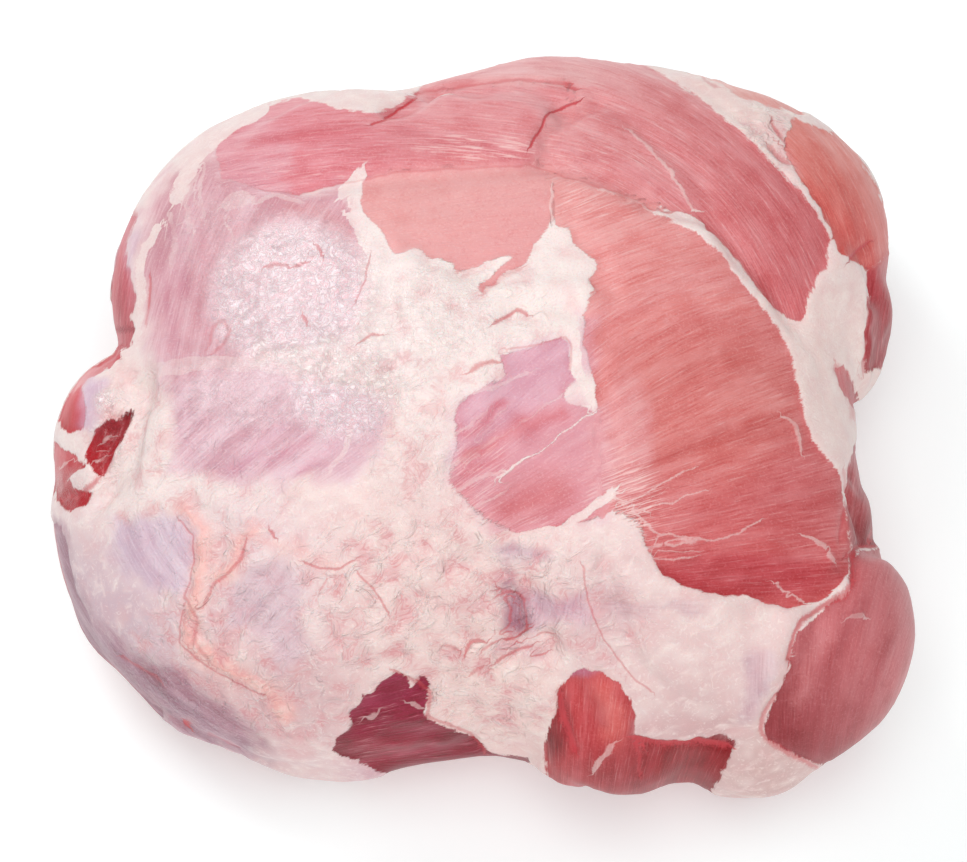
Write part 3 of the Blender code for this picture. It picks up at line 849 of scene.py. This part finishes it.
class Marks:
    """Everything that the picture and the form say about each point of the skin."""

    def __init__(self, points, normals):
        self.points = points / MM
        self.places = in_picture(points)
        self.find_view(points, normals)
        fine = self.wander(FINE_WANDER)
        self.near_places = self.places + fine
        self.far_places = self.places + fine + self.wander(BROAD_WANDER)
        self.fibre_places = self.places + FIBRE_WANDER * fine
        self.find_muscles()
        self.find_meat_tones()
        self.find_streaks()
        self.find_fat()
        self.find_fat_lines()
        self.find_veils()
        self.find_creases()
        self.find_strings()
        self.finish_hidden()
        self.find_clouds()

    def find_view(self, points, normals):
        """How far each point faces the eye: plainly, and with a ragged edge further round."""
        eye = np.array(LOOKS_AT + TO_EYE * EYE_DISTANCE)
        to_eye = eye - points
        to_eye /= np.linalg.norm(to_eye, axis=1)[:, None]
        facing = np.einsum("ij,ij->i", normals, to_eye)
        ragged = sum(share * speckle(self.points, spacing) for share, spacing in RAGGED_RIM)
        self.seen = eased(*SEEN_FACING, facing)
        self.widely_seen = np.maximum(eased(*WIDELY_SEEN_FACING, facing + ragged), self.seen)

    def wander(self, amount):
        """A push in the picture that makes drawn edges uneven."""
        reach, spacing = amount
        first = speckle(self.points + ACROSS_SHIFT, spacing)
        second = speckle(self.points + DOWN_SHIFT, spacing)
        return np.stack([first, second], axis=1) * reach / PIXEL

    def find_muscles(self):
        """Bare muscle, its colour and its fibres, and the joins where the fibres fade."""
        places = self.near_places
        names = list(MUSCLES)
        depths = np.stack([inside_depth(self.far_places if name == "window muscle" else places,
                                        MUSCLES[name]["outline"]) for name in names])
        for name in EDGE_MUSCLES:
            on_edge = eased(*RIM_EASE, depths[names.index(name)])
            self.widely_seen += (self.seen - self.widely_seen) * on_edge
        self.bare = depths.max(axis=0) * PIXEL
        ranked = np.sort(depths, axis=0)
        self.join = eased(*JOIN_GAP, ranked[-1] - ranked[-2]) * eased(*JOIN_EASE, ranked[-2])
        self.flush = np.zeros(len(places))
        for name in FLUSH_MUSCLES:
            level = eased(*FLUSH_EASE, depths[names.index(name)])
            self.flush = np.maximum(self.flush, level)
        for name, share in CALM_MUSCLES.items():
            inside = share * eased(*CALM_EASE, depths[names.index(name)])
            self.join = np.maximum(self.join, inside)
        closeness = np.exp(np.clip(depths, -60, 4) / MUSCLE_SOFTNESS)
        closeness /= closeness.sum(axis=0)
        nearest = depths.argmax(axis=0)
        self.meat = np.zeros((len(places), 3))
        self.grain = np.zeros((len(places), 2))
        for index, name in enumerate(names):
            self.meat += closeness[index][:, None] * self.muscle_tone(name)
            chosen = (nearest == index) & (depths[index] > -FIBRE_REACH)
            self.grain[chosen] = self.muscle_grain(name)[chosen]
        away = depths.max(axis=0) <= -FIBRE_REACH
        self.grain[away] = grain_at(self.fibre_places, REST_GRAIN, REST_GRAIN_START)[away]

    def muscle_tone(self, name):
        """Colour of a muscle, from its pale end to its deep end."""
        pale_place, pale = MUSCLES[name]["pale"]
        deep_place, deep = MUSCLES[name]["deep"]
        way = np.array(deep_place, dtype=float) - np.array(pale_place)
        share = np.clip((self.near_places - np.array(pale_place)) @ way / (way @ way), 0, 1)
        return mixed(linear(pale), linear(deep), share)

    def muscle_grain(self, name):
        """Run of a muscle's fibres; those of the main muscle turn from top to bottom."""
        grain = MUSCLES[name]["grain"]
        if name != "right main muscle":
            return grain_at(self.fibre_places, grain, MUSCLES[name]["pale"][0])
        start, top, bottom = MAIN_GRAIN_TURN
        upper = grain_at(self.fibre_places, UPPER_MAIN_GRAIN, start)
        lower = grain_at(self.fibre_places, grain, start)
        return mixed(upper, lower, eased(top, bottom, self.near_places[:, 1]))

    def find_meat_tones(self):
        """Broad tones over the muscles."""
        for centre, halves, tone, strength in MEAT_TONES.values():
            share = strength * soft_patch(self.near_places, centre, halves)
            self.meat = mixed(self.meat, linear(tone), share)

    def find_streaks(self):
        """Soft streaks of another colour, over muscle, fat and membrane."""
        count = len(self.places)
        self.streak = np.zeros(count)
        self.streak_tone = np.zeros((count, 3))
        for line, half_width, tone, strength in STREAKS.values():
            gap = line_distance(self.far_places, line)
            share = strength * self.seen * np.exp(-(gap / half_width) ** 2)
            stronger = (share > self.streak)[:, None]
            self.streak_tone = np.where(stronger, linear(tone), self.streak_tone)
            self.streak = np.maximum(self.streak, share)
        self.meat = mixed(self.meat, self.streak_tone, self.streak)

    def find_fat(self):
        """Colour of the fat, with painted shade at the low edges and a painted highlight on the
        gleam, and where it is crumbly, wrinkled and wet, or under film.
        """
        places = self.places
        weight = np.full(len(places), FAT_REST_WEIGHT)
        colour = linear(FAT_REST) * weight[:, None]
        for centre, reach, tone in FAT_TONES.values():
            away = np.hypot(places[:, 0] - centre[0], places[:, 1] - centre[1])
            share = np.exp(-(away / reach) ** 2)
            colour = colour + share[:, None] * linear(tone)
            weight = weight + share
        self.fat = mixed(colour / weight[:, None], self.streak_tone, self.streak)
        self.crumb = strongest(places, CRUMBLY)
        self.wet = strongest(places, CRINKLED)
        self.film = strongest(places, FILMS)

    def find_fat_lines(self):
        """Nearest white line: how far inside it, which side, its half width and its strength."""
        count = len(self.places)
        self.seam_inside = np.full(count, -20.0)
        self.seam = np.zeros(count)
        self.seam_half = np.zeros(count)
        self.seam_on = np.zeros(count)
        for lines, strength in ((FAT_LINES, 1.0), (THIN_FAT_LINES, THIN_FAT)):
            for line, half_width in lines.values():
                gap = line_distance(self.near_places, line)
                within = (half_width - gap) * PIXEL
                nearer = within > self.seam_inside
                reach = strength * eased(half_width + 10, half_width + 5, gap)
                signed = line_side(self.near_places, line) * gap * PIXEL
                self.seam = np.where(nearer, signed, self.seam)
                self.seam_half = np.where(nearer, half_width * PIXEL, self.seam_half)
                self.seam_on = np.where(nearer, reach, self.seam_on)
                self.seam_inside = np.maximum(self.seam_inside, within)

    def find_veils(self):
        """Membrane: how far inside it, its colour and thickness, and its own fibres."""
        places = self.far_places
        depths = np.stack([inside_depth(places, veil["outline"]) for veil in VEILS.values()])
        nearest = depths.argmax(axis=0)
        closeness = np.exp(np.clip(depths, -60, 10) / VEIL_SOFTNESS)
        closeness /= closeness.sum(axis=0)
        self.veil = depths.max(axis=0) * PIXEL
        self.veil_tone = np.zeros((len(places), 3))
        self.veil_body = np.zeros(len(places))
        for index, veil in enumerate(VEILS.values()):
            self.veil_tone += closeness[index][:, None] * linear(veil["colour"])
            self.veil_body += closeness[index] * veil["thickness"]
            middle = np.mean(np.array(veil["outline"], dtype=float), axis=0)
            run = grain_at(self.fibre_places, veil["grain"], middle)
            over = (nearest == index) & (depths[index] > -VEIL_FIBRE_REACH)
            chosen = over & (self.bare < -3.0)
            self.grain[chosen] = run[chosen]
        self.veil_tone = mixed(self.veil_tone, self.streak_tone, self.streak)

    def find_creases(self):
        """Cuts and creases: blood in them, which is painted shade along the tendon, depth, and place
        across the nearest one.
        """
        places = self.places * 0.5 + self.near_places * 0.5
        count = len(places)
        self.blood = np.zeros(count)
        self.groove = np.zeros(count)
        self.cut = np.full(count, 9.0)
        for line, half_width, redness, depth in CREASES.values():
            gap = line_distance(places, line)
            across = gap / half_width
            nearer = across < np.abs(self.cut)
            self.cut = np.where(nearer, line_side(places, line) * across, self.cut)
            red = redness * eased(half_width + 9, half_width + 3, gap)
            self.blood = np.maximum(self.blood, red)
            profile = np.exp(-(gap / max(half_width, LEAST_GROOVE)) ** 2)
            self.groove = np.maximum(self.groove, depth * profile)

    def find_strings(self):
        """Height of the raised strings and lumps."""
        places = self.places * 0.5 + self.near_places * 0.5
        self.string = np.zeros(len(places))
        for line, half_width, height in STRINGS.values():
            profile = np.exp(-(line_distance(places, line) / half_width) ** 2)
            self.string = np.maximum(self.string, height * profile)

    def finish_hidden(self):
        """Blend in muscle, fat and fibres for what the eye can't see."""
        points = self.points
        seen = self.widely_seen
        hidden = 1 - seen
        broad = speckle(points, BROAD_PATCHES)
        middle = speckle(points + PATCH_SHIFT, MIDDLE_PATCHES)
        edge = speckle(points + PATCH_EDGE_SHIFT, PATCH_EDGES)
        bare = 5.0 + 18.0 * broad + 6.0 * middle + 1.6 * edge
        self.bare = self.bare * seen + hidden * bare
        self.veil = self.veil * seen + hidden * (-3.0 + 12.0 * middle - 8.0 * broad)
        meat = mixed(linear(HIDDEN_MEAT), linear(HIDDEN_DEEP_MEAT), eased(-0.5, 0.5, middle))
        self.meat = mixed(meat, self.meat, seen)
        self.fat = mixed(linear(HIDDEN_FAT), self.fat, self.seen)
        self.veil_tone = mixed(linear(HIDDEN_VEIL), self.veil_tone, self.seen)
        around = np.arctan2(points[:, 1], points[:, 0]) * SIDE_RADIUS
        level = points[:, 2] + 14 * broad
        side_grain = np.stack([around, level], axis=1)
        self.grain[seen < 0.5] = side_grain[seen < 0.5]
        self.join = np.maximum(self.join, eased(0.5, 0.3, np.abs(seen - 0.5)))
        self.join = np.maximum(self.join, 0.75 * seen * (1 - self.seen))
        for name, share in HIDDEN_SHARES.items():
            setattr(self, name, getattr(self, name) * seen + share * hidden)
        for name in ("seam_on", "blood", "groove", "string"):
            setattr(self, name, getattr(self, name) * self.seen)
        self.seam_inside = self.seam_inside * self.seen - 6.0 * (1 - self.seen)

    def along_grain(self, stretch):
        """Places drawn out along the fibres, for noise that follows them."""
        return np.stack([self.grain[:, 0] / stretch, self.grain[:, 1],
                         self.points[:, 2] * 0.1], axis=1)

    def find_clouds(self):
        """Uneven colour: broad clouds, streaks of the membrane and lumps of the fat."""
        points = self.points
        shifted = points + CLOUD_SHIFT
        self.cloud = speckle(points, 11.0) + 0.5 * speckle(shifted, 5.0)
        self.mist = speckle(self.along_grain(3.5), 6.5) + 0.6 * speckle(self.along_grain(5.0), 3.2)
        self.lumps = speckle(shifted, 7.5) + 0.55 * speckle(points, 4.2)
        self.bundles = (1 - self.join) * speckle(self.along_grain(7.0), 3.6)


def raise_relief(mesh, marks):
    """Push fat, seams, strings, lumps and fibre bundles into the skin along its normals."""
    points = marks.points
    wide_lumps = speckle(points + LUMP_SHIFT, 15.0)
    bundles = speckle(marks.along_grain(9.0), 4.6)
    crinkles = 1 - 2 * np.abs(speckle(points + CRINKLE_SHIFT, 5.0))
    on_fat = np.maximum(eased(1.2, -1.2, marks.bare), eased(-1.0, 0.6, marks.seam_inside))
    on_veil = eased(-2.0, 3.0, marks.veil)
    push = FAT_STEP * on_fat * (1 - 0.7 * on_veil) * (1 - 0.7 * marks.flush)
    push += on_fat * marks.crumb * (LUMP_HEIGHT * marks.lumps + WIDE_LUMP_HEIGHT * wide_lumps)
    push += on_fat * (1 - marks.crumb) * SMALL_LUMP_HEIGHT * wide_lumps
    push += (1 - on_fat) * BUNDLE_HEIGHT * bundles
    push += marks.wet * CRINKLE_HEIGHT * crinkles
    push += marks.string - marks.groove
    above_floor = eased(0.6, 7.0, points[:, 2])
    moved = points + normals_of(mesh) * (push * above_floor)[:, None]
    mesh.vertices.foreach_set("co", (moved * MM).ravel())
    mesh.update()


def keep_marks(mesh, marks):
    """Keep the marks on the skin, where the material reads them."""
    count = len(mesh.vertices)
    for name in KEPT_VALUES:
        attribute = mesh.attributes.new(name, "FLOAT", "POINT")
        attribute.data.foreach_set("value", getattr(marks, name).astype(np.float32))
    for name in KEPT_COLOURS:
        attribute = mesh.attributes.new(name, "FLOAT_COLOR", "POINT")
        colour = np.ones((count, 4), dtype=np.float32)
        colour[:, :3] = getattr(marks, name)
        attribute.data.foreach_set("color", colour.ravel())
    attribute = mesh.attributes.new("grain", "FLOAT_VECTOR", "POINT")
    grain = np.zeros((count, 3), dtype=np.float32)
    grain[:, :2] = marks.grain
    attribute.data.foreach_set("vector", grain.ravel())


def make_ham():
    """The finished ham on its frame."""
    mesh = copied_skin()
    mesh.name = "ham skin"
    marks = Marks(points_of(mesh), normals_of(mesh))
    raise_relief(mesh, marks)
    keep_marks(mesh, marks)
    for face in mesh.polygons:
        face.use_smooth = True
    ham = bpy.data.objects.new("ham_skin", mesh)
    bpy.context.scene.collection.objects.link(ham)
    ham.data.materials.append(raw_pork())
    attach(ham, "root")
    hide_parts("ham")


class Sheet:
    """A node tree with short calls for the nodes that the meat needs."""

    def __init__(self, tree):
        self.tree = tree

    def add(self, kind, **settings):
        """A new node."""
        node = self.tree.nodes.new(kind)
        for name, value in settings.items():
            setattr(node, name, value)
        return node

    def feed(self, socket, value):
        """A link or a plain value into a socket."""
        if isinstance(value, bpy.types.NodeSocket):
            self.tree.links.new(value, socket)
        else:
            socket.default_value = value

    def kept(self, name, output="Fac"):
        """Value kept on the skin under a name."""
        return self.add("ShaderNodeAttribute", attribute_name=name).outputs[output]

    def calc(self, operation, first, second=0.0, clamp=False):
        """Result of a sum."""
        node = self.add("ShaderNodeMath", operation=operation, use_clamp=clamp)
        self.feed(node.inputs[0], first)
        self.feed(node.inputs[1], second)
        return node.outputs[0]

    def plus(self, first, second):
        """Two values added."""
        return self.calc("ADD", first, second)

    def minus(self, first, second):
        """The second value taken from the first."""
        return self.calc("SUBTRACT", first, second)

    def times(self, first, second, clamp=False):
        """Two values multiplied."""
        return self.calc("MULTIPLY", first, second, clamp)

    def off_middle(self, pattern):
        """Distance of a noise from its middle value."""
        return self.calc("ABSOLUTE", self.minus(pattern, 0.5))

    def ramp(self, value, low, high, start=0.0, end=1.0):
        """Smooth change from start to end as a value runs from low to high."""
        node = self.add("ShaderNodeMapRange", interpolation_type="SMOOTHSTEP")
        for socket, number in zip(node.inputs[:5], (value, low, high, start, end)):
            self.feed(socket, number)
        return node.outputs[0]

    def noise(self, place, scale, detail=2.0, roughness=0.5, twist=0.0):
        """Soft noise between 0 and 1."""
        node = self.add("ShaderNodeTexNoise")
        self.feed(node.inputs["Vector"], place)
        self.feed(node.inputs["Scale"], scale)
        self.feed(node.inputs["Detail"], detail)
        self.feed(node.inputs["Roughness"], roughness)
        self.feed(node.inputs["Distortion"], twist)
        return node.outputs["Fac"]

    def stretched(self, vector, scales):
        """A place stretched along its axes."""
        node = self.add("ShaderNodeVectorMath", operation="MULTIPLY")
        self.feed(node.inputs[0], vector)
        node.inputs[1].default_value = scales
        return node.outputs[0]

    def leaning(self, vector, turn, scales):
        """A place turned about the vertical and then stretched."""
        node = self.add("ShaderNodeMapping", vector_type="TEXTURE")
        self.feed(node.inputs["Vector"], vector)
        node.inputs["Rotation"].default_value = (0.0, 0.0, turn)
        node.inputs["Scale"].default_value = [1 / scale for scale in scales]
        return node.outputs[0]

    def deepened(self, colour, power):
        """Deeper version of a colour for a power above 1, paler for one below."""
        node = self.add("ShaderNodeGamma")
        self.feed(node.inputs["Color"], colour)
        self.feed(node.inputs["Gamma"], power)
        return node.outputs[0]

    def blend(self, share, first, second):
        """Two colours mixed; a colour may be the name of a tone."""
        node = self.add("ShaderNodeMix", data_type="RGBA")
        self.feed(node.inputs[0], share)
        for socket, colour in ((node.inputs[6], first), (node.inputs[7], second)):
            if isinstance(colour, str):
                colour = (*linear(TONES[colour]), 1.0)
            self.feed(socket, colour)
        return node.outputs[2]

    def layered(self, colour, layers):
        """A colour under thin layers: value, where a layer starts and is full, strength, tone."""
        for value, low, high, strength, tone in layers:
            colour = self.blend(self.ramp(value, low, high, 0.0, strength), colour, tone)
        return colour


class Patterns:
    """Kept values, noises and shares that muscle, fat, membrane and blood have in common."""

    def __init__(self, sheet):
        for name in KEPT_VALUES:
            setattr(self, name, sheet.kept(name))
        place = sheet.add("ShaderNodeTexCoord").outputs["Object"]
        self.specks = sheet.noise(place, SPECKS_A_METRE, 2.0, 0.6)
        self.wrinkles = sheet.noise(place, WRINKLES_A_METRE, 3.0, 0.6, 1.6)
        flakes = sheet.leaning(place, FLAKE_LEAN, FLAKES_A_METRE)
        self.folds = sheet.noise(flakes, 1.0, 3.0, 0.55, 0.8)
        self.off_specks = sheet.minus(self.specks, 0.5)
        self.off_wrinkle = sheet.off_middle(self.wrinkles)
        self.off_fold = sheet.off_middle(self.folds)
        self.find_threads(sheet)
        self.find_shares(sheet)

    def find_threads(self, sheet):
        """Fine threads along the fibres, fading where two muscles join."""
        grain = sheet.stretched(sheet.kept("grain", "Vector"), THREADS_A_MILLIMETRE)
        threads = sheet.noise(grain, 1.0, 3.0, 0.62)
        calm = sheet.minus(1.0, self.join)
        self.off_threads = sheet.times(sheet.minus(threads, 0.5), calm)
        self.threads = sheet.plus(self.off_threads, 0.5)

    def find_shares(self, sheet):
        """How much white line and bare muscle shows, feathered a little along the fibres."""
        seam_edge = sheet.minus(self.seam_half, sheet.calc("ABSOLUTE", self.seam))
        seam_edge = sheet.plus(seam_edge, sheet.times(self.off_specks, 0.9))
        self.seam_share = sheet.times(sheet.ramp(seam_edge, -0.3, 0.25), self.seam_on)
        feather = sheet.times(self.off_threads, sheet.ramp(self.film, 0.0, 1.0, 2.6, 11.0))
        edge = sheet.plus(self.bare, feather)
        edge = sheet.plus(edge, sheet.times(self.off_specks, 1.2))
        self.meat_share = sheet.times(sheet.ramp(edge, -0.35, 0.4),
                                      sheet.minus(1.0, self.seam_share))
        self.fat_share = sheet.minus(1.0, self.meat_share)
        # Painted shade in the hollows of the wet wrinkles
        self.wet_wrinkle_shade = sheet.times(sheet.ramp(self.off_wrinkle, 0.0, 0.06, 1.0, 0.0),
                                     sheet.ramp(self.wet, 0.15, 1.0, 0.0, 0.6))


def muscle_colour(sheet, look):
    """Muscle: paler and deeper along its fibres and in clouds, with threads of film that also carry
    painted glints along the fibres.
    """
    meat = sheet.kept("meat", "Color")
    pale = sheet.deepened(meat, 0.7)
    deep = sheet.deepened(meat, 1.5)
    meat = sheet.layered(meat, (
        (look.threads, 0.5, 0.72, 0.6, pale),
        (look.threads, 0.5, 0.3, 0.65, deep),
        (look.wrinkles, 0.48, 0.3, 0.3, deep),
        (look.bundles, 0.0, -0.6, 0.4, deep),
        (look.bundles, 0.0, 0.6, 0.4, pale),
        (look.cloud, 0.1, -0.8, 0.4, deep),
        (look.specks, 0.5, 0.72, 0.4, pale)))
    threads = sheet.plus(look.threads, sheet.times(look.film, 0.14))
    film_share = sheet.times(sheet.ramp(threads, 0.58, 0.74),
                             sheet.ramp(look.film, 0.0, 1.0, 0.2, 0.62))
    return sheet.blend(film_share, meat, "film")


def fat_colour(sheet, look):
    """Fat: pale soft lumps, with painted highlights on the tops of lumps, folds and wrinkles, and
    painted pink shade in the lines and hollows between them.
    """
    fat = sheet.layered(sheet.kept("fat", "Color"), (
        (look.lumps, -0.1, 1.0, 0.3, "top of a lump"),
        (look.folds, 0.5, 0.75, 0.4, "top of a fold"),
        (look.specks, 0.5, 0.3, 0.25, "pink speck"),
        (look.cloud, 0.2, 0.9, 0.35, "pink cloud")))
    hollow = sheet.times(sheet.ramp(look.lumps, 0.0, -0.7),
                         sheet.ramp(look.crumb, 0.0, 1.0, 0.15, 0.7))
    lines = sheet.times(sheet.ramp(look.off_fold, 0.0, 0.045, 1.0, 0.0),
                        sheet.ramp(look.crumb, 0.0, 1.0, 0.0, 0.6))
    lines = sheet.times(lines, sheet.ramp(look.lumps, 0.3, -0.5, 0.1, 1.0))
    fat = sheet.blend(hollow, fat, "hollow")
    fat = sheet.blend(lines, fat, "line in the fat")
    fat = sheet.blend(sheet.times(look.wet_wrinkle_shade, 0.7), fat, "wet line in the fat")
    return sheet.layered(fat, ((look.off_wrinkle, 0.08, 0.2, 0.3, "top of a wrinkle"),))


def membrane_colour(sheet, look):
    """Membrane: a pale lilac veil, streaked along the fibres, with a painted gleam where it is wet
    and painted shade in the lines of its wet wrinkles.
    """
    membrane = sheet.kept("veil_tone", "Color")
    deep = sheet.deepened(membrane, 1.6)
    pale = sheet.deepened(membrane, 0.6)
    membrane = sheet.layered(membrane, (
        (look.mist, 0.2, -0.7, 0.7, deep),
        (look.mist, 0.1, 0.9, 0.6, pale),
        (look.threads, 0.5, 0.3, 0.6, deep),
        (look.threads, 0.5, 0.7, 0.5, pale),
        (look.bundles, 0.1, 0.7, 0.55, pale),
        (look.bundles, -0.1, -0.7, 0.5, deep),
        (look.specks, 0.52, 0.74, 0.25, "pale speck"),
        (look.wet, 0.3, 1.0, 0.75, "wet membrane")))
    return sheet.blend(look.wet_wrinkle_shade, membrane, "wet line in the membrane")


def membrane_share(sheet, look):
    """How much the membrane covers: less over muscle, hardly anything over white lines."""
    edge = sheet.plus(look.veil, sheet.times(look.cloud, 2.5))
    edge = sheet.plus(edge, sheet.times(look.mist, 3.0))
    thickness = sheet.times(look.veil_body, sheet.ramp(look.meat_share, 0.0, 1.0, 1.0, 0.7))
    thickness = sheet.times(thickness, sheet.ramp(look.seam_share, 0.0, 1.0, 1.0, 0.1))
    return sheet.times(sheet.ramp(edge, -3.5, 4.5), thickness)


def cut_share(sheet, look):
    """How much blood shows in the cuts and creases, and painted shade along the tendon, all with an
    uneven edge.
    """
    width = sheet.ramp(look.specks, 0.3, 0.7, 0.9, 1.7)
    across = sheet.calc("DIVIDE", sheet.calc("ABSOLUTE", look.cut), width)
    return sheet.times(look.blood, sheet.ramp(across, 1.15, 0.2), clamp=True)


def fine_height(sheet, look, blood_share):
    """Fine relief in millimetres: threads, fat folds, wet wrinkles and cuts."""
    meat_height = sheet.times(look.threads, THREAD_HEIGHT)
    fat_height = sheet.plus(sheet.times(look.specks, 0.12), 0.3)
    height = sheet.plus(sheet.times(look.meat_share, meat_height),
                        sheet.times(look.fat_share, fat_height))
    wrinkle_height = sheet.ramp(look.off_wrinkle, 0.0, 0.16, 0.0, WRINKLE_HEIGHT)
    height = sheet.plus(height, sheet.times(wrinkle_height, look.wet))
    fold_height = sheet.ramp(look.off_fold, 0.0, 0.3, 0.0, FOLD_HEIGHT)
    height = sheet.plus(height, sheet.times(fold_height, sheet.times(look.fat_share, look.crumb)))
    return sheet.minus(height, sheet.times(blood_share, CUT_DEPTH))


def set_sockets(node, values):
    """Plain values on a node's own sockets."""
    for name, value in values.items():
        node.inputs[name].default_value = value


def raw_pork():
    """Moist muscle with fine fibres, under fat, silvery membrane and small blood marks."""
    material = bpy.data.materials.new("raw pork skin")
    material.use_nodes = True
    sheet = Sheet(material.node_tree)
    surface = material.node_tree.nodes["Principled BSDF"]
    look = Patterns(sheet)
    colour = sheet.blend(look.meat_share, fat_colour(sheet, look), muscle_colour(sheet, look))
    colour = sheet.blend(membrane_share(sheet, look), colour, membrane_colour(sheet, look))
    blood_share = cut_share(sheet, look)
    colour = sheet.blend(blood_share, colour, "blood")
    sheet.feed(surface.inputs["Base Color"], colour)
    bump = sheet.add("ShaderNodeBump")
    set_sockets(bump, {"Strength": 1.0, "Distance": MM})
    sheet.feed(bump.inputs["Height"], fine_height(sheet, look, blood_share))
    sheet.feed(surface.inputs["Normal"], bump.outputs["Normal"])
    roughness = sheet.ramp(look.meat_share, 0.0, 1.0, FAT_ROUGHNESS, MEAT_ROUGHNESS)
    roughness = sheet.minus(roughness, sheet.times(look.wet, WET_GLOSS))
    sheet.feed(surface.inputs["Roughness"], roughness)
    sheet.feed(surface.inputs["Coat Weight"], sheet.ramp(look.wet, 0.0, 1.0, *MOIST_COAT))
    set_sockets(surface, MOIST_SURFACE)
    return material


def make_floor():
    """Plain white floor."""
    shape = bmesh.new()
    bmesh.ops.create_grid(shape, x_segments=1, y_segments=1, size=4.0)
    mesh = bpy.data.meshes.new("floor")
    shape.to_mesh(mesh)
    shape.free()
    floor = bpy.data.objects.new("floor", mesh)
    bpy.context.scene.collection.objects.link(floor)
    material = bpy.data.materials.new("white floor")
    material.use_nodes = True
    set_sockets(material.node_tree.nodes["Principled BSDF"], FLOOR_SURFACE)
    floor.data.materials.append(material)


def add_lamp(name, place, size, power):
    """A square soft light, pointed at the ham."""
    light = bpy.data.lights.new(name, "AREA")
    light.size = size
    light.energy = power
    lamp = bpy.data.objects.new(name, light)
    bpy.context.scene.collection.objects.link(lamp)
    turn = (LAMPS_AIM - Vector(place)).to_track_quat("-Z", "Y").to_matrix().to_4x4()
    lamp.matrix_world = Matrix.Translation(place) @ turn


def add_room():
    """A pale room all round."""
    world = bpy.data.worlds.new("pale room")
    bpy.context.scene.world = world
    world.use_nodes = True
    backdrop = world.node_tree.nodes["Background"]
    set_sockets(backdrop, {"Color": (1.0, 1.0, 1.0, 1.0), "Strength": 0.42})


def add_camera():
    """The camera, at the eye."""
    camera_data = bpy.data.cameras.new("eye")
    camera_data.sensor_fit = "HORIZONTAL"
    camera_data.sensor_width = SENSOR_WIDTH
    camera_data.lens = SENSOR_WIDTH * EYE_DISTANCE / VIEW_WIDTH
    camera_data.clip_start = 0.05
    camera_data.clip_end = 20.0
    camera = bpy.data.objects.new("eye", camera_data)
    bpy.context.scene.collection.objects.link(camera)
    rotation = Matrix((PICTURE_RIGHT, PICTURE_UP, TO_EYE)).transposed().to_4x4()
    camera.matrix_world = Matrix.Translation(LOOKS_AT + TO_EYE * EYE_DISTANCE) @ rotation
    bpy.context.scene.camera = camera


def make_studio():
    """Soft light from the back left, from above and from the front, a pale room, the camera."""
    add_room()
    for name, place, size, power in LAMPS:
        add_lamp(name, place, size, power)
    add_camera()
    bpy.context.scene.view_settings.view_transform = "Standard"


make_ham()
make_floor()
make_studio()
